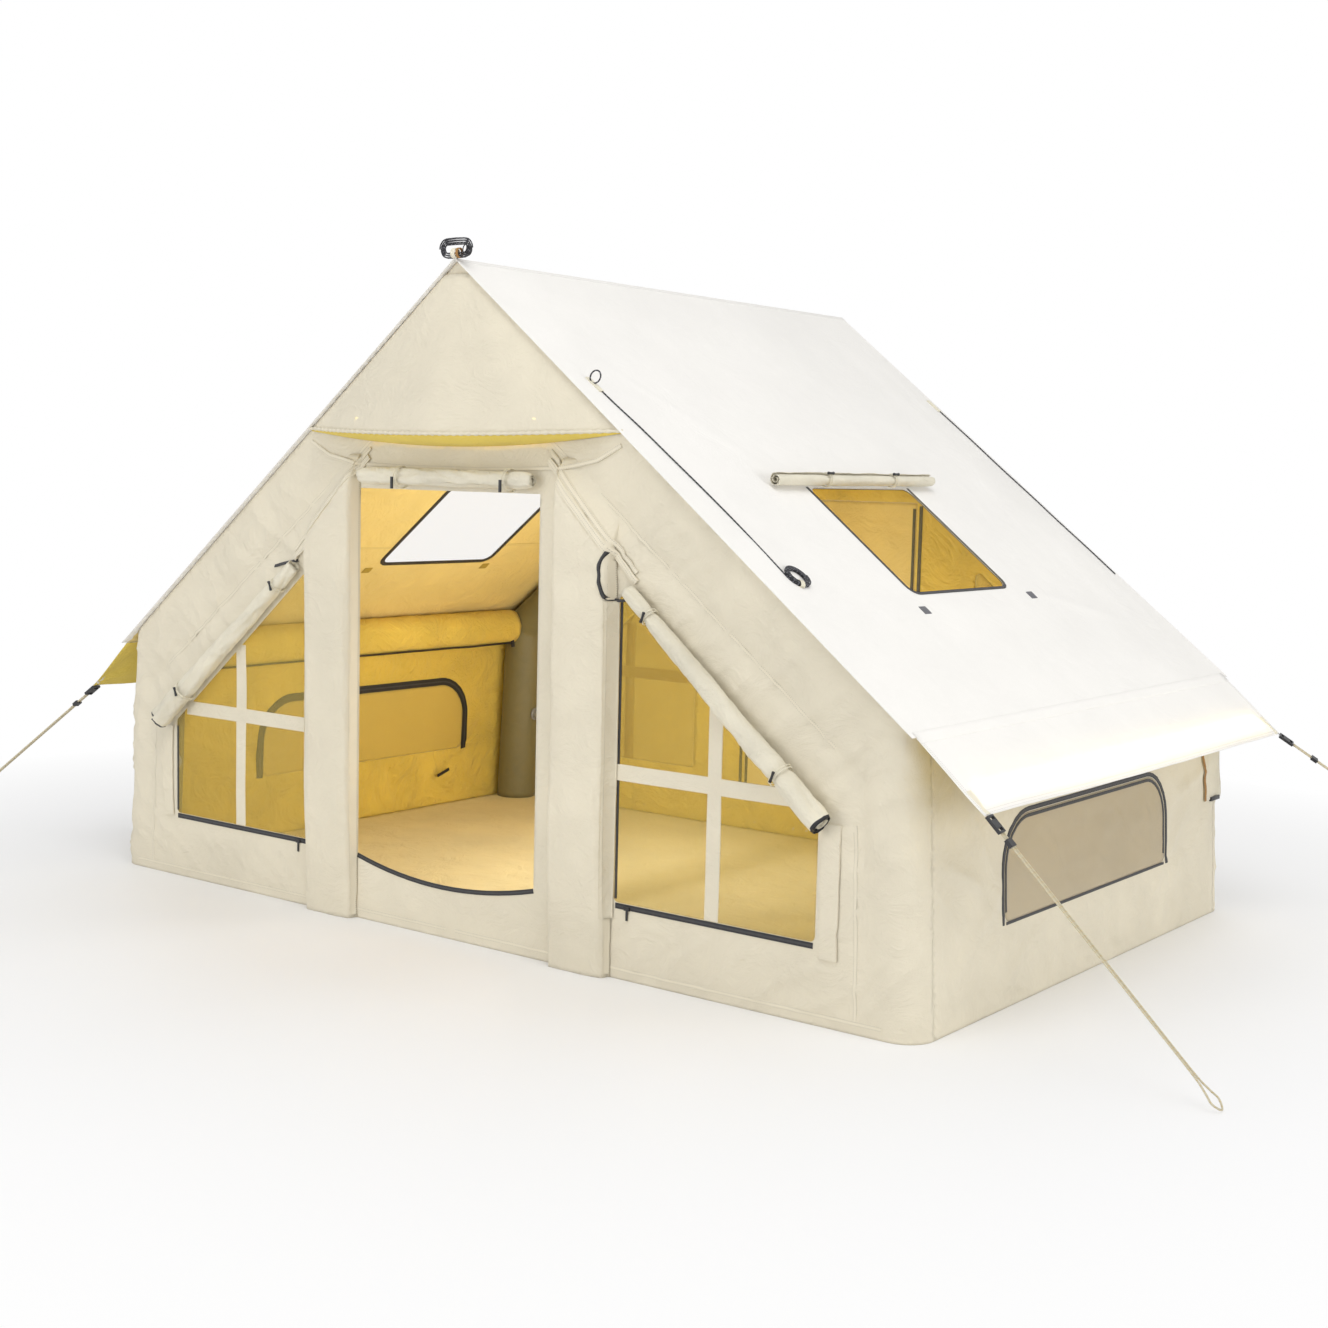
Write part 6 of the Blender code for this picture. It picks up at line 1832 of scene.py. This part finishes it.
def build_stage():
    """A pale floor, a white surround and soft lamps."""
    scene = bpy.context.scene
    bpy.ops.mesh.primitive_plane_add(size=120.0, location=(0, 0, -0.0005))
    floor = bpy.context.object
    floor.name = "studio_floor"
    made, tree, shader = new_finish("studio_floor")
    shader.inputs["Base Color"].default_value = (0.90, 0.90, 0.905, 1)
    shader.inputs["Roughness"].default_value = 0.55
    shader.inputs["Specular IOR Level"].default_value = 0.3
    place = node(tree, "TexCoord").outputs["Object"]
    far = node(tree, "VectorMath", "LENGTH", i0=place).outputs["Value"]
    fade = node(tree, "MapRange", Value=far)
    for index, value in ((1, 1.5), (2, 3.7), (3, 0.0), (4, 1.0)):
        fade.inputs[index].default_value = value
    path = node(tree, "LightPath")
    seen = math_node(tree, "MAXIMUM", path.outputs["Is Camera Ray"], path.outputs["Is Glossy Ray"])
    seen = math_node(tree, "MAXIMUM", seen, path.outputs["Is Transmission Ray"])
    share = math_node(tree, "MULTIPLY", fade.outputs[0], seen)
    glow = node(tree, "Emission", Color=(1, 1, 1, 1), Strength=1.0)
    blend = node(tree, "MixShader", Fac=share)
    tree.links.new(shader.outputs[0], blend.inputs[1])
    tree.links.new(glow.outputs[0], blend.inputs[2])
    tree.links.new(blend.outputs[0], tree.nodes["Material Output"].inputs["Surface"])
    floor.data.materials.append(made)

    world = bpy.data.worlds.new("studio")
    scene.world = world
    world.use_nodes = True
    tree = world.node_tree
    background = tree.nodes["Background"]
    path = node(tree, "LightPath")
    seen = math_node(tree, "MAXIMUM", path.outputs["Is Camera Ray"], path.outputs["Is Glossy Ray"])
    seen = math_node(tree, "MAXIMUM", seen, path.outputs["Is Transmission Ray"])
    strength = node(tree, "MapRange", Value=seen)
    strength.inputs[3].default_value, strength.inputs[4].default_value = 0.54, 1.0
    background.inputs["Color"].default_value = (1, 1, 1, 1)
    tree.links.new(strength.outputs[0], background.inputs["Strength"])

    white, warm, amber = (1, 1, 1), (1.0, 0.98, 0.93), (1.0, 0.72, 0.12)
    for name, spot, aim, wide, high, power, colour in (
        ("key", (3.2, -3.0, 6.5), (0, 0, 0.8), 5.0, 0, 185.0, white),
        ("front", (-1.0, -7.0, 1.6), (0, -0.5, 0.6), 4.0, 0, 116.0, white),
        ("side", (7.0, 0.5, 1.7), (1.0, 0, 0.5), 3.0, 0, 96.0, white),
        ("back", (-3.5, 6.5, 2.6), (0, 0.5, 0.8), 4.0, 0, 92.0, white),
        ("inside_left", (0.05, 0.0, 0.62), (-1.5, 0.0, 0.62), 1.30, 0.75, 12.5, warm),
        ("inside_right", (-0.05, 0.1, 0.62), (1.5, 0.1, 0.62), 1.30, 0.75, 8.5, warm),
        ("inside_high", (0.0, 0.1, 1.10), (0.0, 0.1, 1.9), 0.8, 0.5, 1.6, warm),
        ("under_hood", (0.0, -1.050, 1.505), (0.0, -1.035, 1.20), 0.70, 0.03, 0.30, amber),
        ("under_awning_right", (1.665, 0.0, 0.640), (1.555, 0.0, 0.522), 1.90, 0.06, 0.85, amber),
        ("under_awning_left", (-1.665, 0.0, 0.640), (-1.555, 0.0, 0.522), 1.90, 0.06, 0.60, amber),
    ):
        bpy.ops.object.light_add(type="AREA", location=spot)
        lamp = bpy.context.object
        lamp.name = "lamp_" + name
        lamp.data.shape = "RECTANGLE" if high else "DISK"
        lamp.data.size = wide
        if high:
            lamp.data.size_y = high
        lamp.data.energy = power
        lamp.data.color = colour
        lamp.rotation_euler = (Vector(aim) - Vector(spot)).to_track_quat("-Z", "Y").to_euler()
        lamp.visible_camera = False
    scene.view_settings.view_transform = "Standard"


class Step:
    """What every building step shares: it runs its build function."""

    def execute(self, context):
        self.build()
        return {"FINISHED"}


class TENT_OT_camera(Step, bpy.types.Operator):
    """Place the camera"""

    bl_idname = "tent.camera"
    bl_label = "Camera"
    build = staticmethod(build_camera)


class TENT_OT_guy_lines(Step, bpy.types.Operator):
    """Make the three taut guy lines"""

    bl_idname = "tent.guy_lines"
    bl_label = "Guy lines"
    build = staticmethod(build_guy_lines)


class TENT_OT_stored_cords(Step, bpy.types.Operator):
    """Make the dark cords that lie on the roof"""

    bl_idname = "tent.stored_cords"
    bl_label = "Stored cords"
    build = staticmethod(build_stored_cords)


class TENT_OT_roofs(Step, bpy.types.Operator):
    """Make the roof panels and skylights"""

    bl_idname = "tent.roofs"
    bl_label = "Roofs"
    build = staticmethod(build_roofs)


class TENT_OT_gables(Step, bpy.types.Operator):
    """Make the front and back walls"""

    bl_idname = "tent.gables"
    bl_label = "Gable walls"
    build = staticmethod(build_gables)


class TENT_OT_gable_nets(Step, bpy.types.Operator):
    """Make the gable windows' nets, crosses and zips"""

    bl_idname = "tent.gable_nets"
    bl_label = "Gable windows"
    build = staticmethod(build_gable_nets)


class TENT_OT_side_walls(Step, bpy.types.Operator):
    """Make the side walls and their windows"""

    bl_idname = "tent.side_walls"
    bl_label = "Side walls"
    build = staticmethod(build_side_walls)


class TENT_OT_closed_covers(Step, bpy.types.Operator):
    """Make the covers that are zipped shut"""

    bl_idname = "tent.closed_covers"
    bl_label = "Closed covers"
    build = staticmethod(build_closed_covers)


class TENT_OT_awnings(Step, bpy.types.Operator):
    """Make the awnings"""

    bl_idname = "tent.awnings"
    bl_label = "Awnings"
    build = staticmethod(build_awnings)


class TENT_OT_air_frame(Step, bpy.types.Operator):
    """Make the inflated arches, beams and posts"""

    bl_idname = "tent.air_frame"
    bl_label = "Air frame"
    build = staticmethod(build_air_frame)


class TENT_OT_groundsheet(Step, bpy.types.Operator):
    """Make the groundsheet"""

    bl_idname = "tent.groundsheet"
    bl_label = "Groundsheet"
    build = staticmethod(build_groundsheet)


class TENT_OT_sleeves(Step, bpy.types.Operator):
    """Make the sleeves of the door posts, the slanted hems and the flaps"""

    bl_idname = "tent.sleeves"
    bl_label = "Post sleeves"
    build = staticmethod(build_sleeves)


class TENT_OT_hood(Step, bpy.types.Operator):
    """Make the hood over the door"""

    bl_idname = "tent.hood"
    bl_label = "Hood"
    build = staticmethod(build_hood)


class TENT_OT_rolls(Step, bpy.types.Operator):
    """Make the rolled covers and their ties"""

    bl_idname = "tent.rolls"
    bl_label = "Rolled covers"
    build = staticmethod(build_rolls)


class TENT_OT_back_door(Step, bpy.types.Operator):
    """Make the back door"""

    bl_idname = "tent.back_door"
    bl_label = "Back door"
    build = staticmethod(build_back_door)


class TENT_OT_front_trim(Step, bpy.types.Operator):
    """Make the walls' seams and the door's zip"""

    bl_idname = "tent.front_trim"
    bl_label = "Seams and zips"
    build = staticmethod(build_front_trim)


class TENT_OT_patches(Step, bpy.types.Operator):
    """Make the roof's patches, seams, loops and the bundle's straps"""

    bl_idname = "tent.patches"
    bl_label = "Patches and loops"
    build = staticmethod(build_patches)


class TENT_OT_fittings(Step, bpy.types.Operator):
    """Give the moulded fittings their finishes"""

    bl_idname = "tent.fittings"
    bl_label = "Fittings"
    build = staticmethod(build_fittings)


class TENT_OT_straps(Step, bpy.types.Operator):
    """Make the webbing tabs and the corner strap"""

    bl_idname = "tent.straps"
    bl_label = "Straps"
    build = staticmethod(build_straps)


class TENT_OT_stage(Step, bpy.types.Operator):
    """Make the floor, the surround and the lamps"""

    bl_idname = "tent.stage"
    bl_label = "Studio"
    build = staticmethod(build_stage)


OPERATORS = Step.__subclasses__()


class TENT_PT_panel(bpy.types.Panel):
    """The tent's sizes, colours and building steps."""

    bl_idname = "TENT_PT_panel"
    bl_label = "Inflatable house tent"
    bl_space_type = "VIEW_3D"
    bl_region_type = "UI"
    bl_category = "Tent"

    def draw(self, context):
        for group in (context.scene.tent_sizes, context.scene.tent_colours):
            for name in group.__annotations__:
                self.layout.prop(group, name)
        for each in OPERATORS:
            self.layout.operator(each.bl_idname)


CLASSES = [TentSizes, TentColours, *OPERATORS, TENT_PT_panel]


def register():
    for each in CLASSES:
        bpy.utils.register_class(each)
    bpy.types.Scene.tent_sizes = PointerProperty(type=TentSizes)
    bpy.types.Scene.tent_colours = PointerProperty(type=TentColours)


def unregister():
    del bpy.types.Scene.tent_sizes
    del bpy.types.Scene.tent_colours
    for each in reversed(CLASSES):
        bpy.utils.unregister_class(each)


def main():
    register()
    for each in OPERATORS:
        step = getattr(bpy.ops.tent, each.bl_idname.split(".")[1])
        if step() != {"FINISHED"}:
            raise RuntimeError(each.bl_label + " didn't finish")


if __name__ == "__main__":
    main()
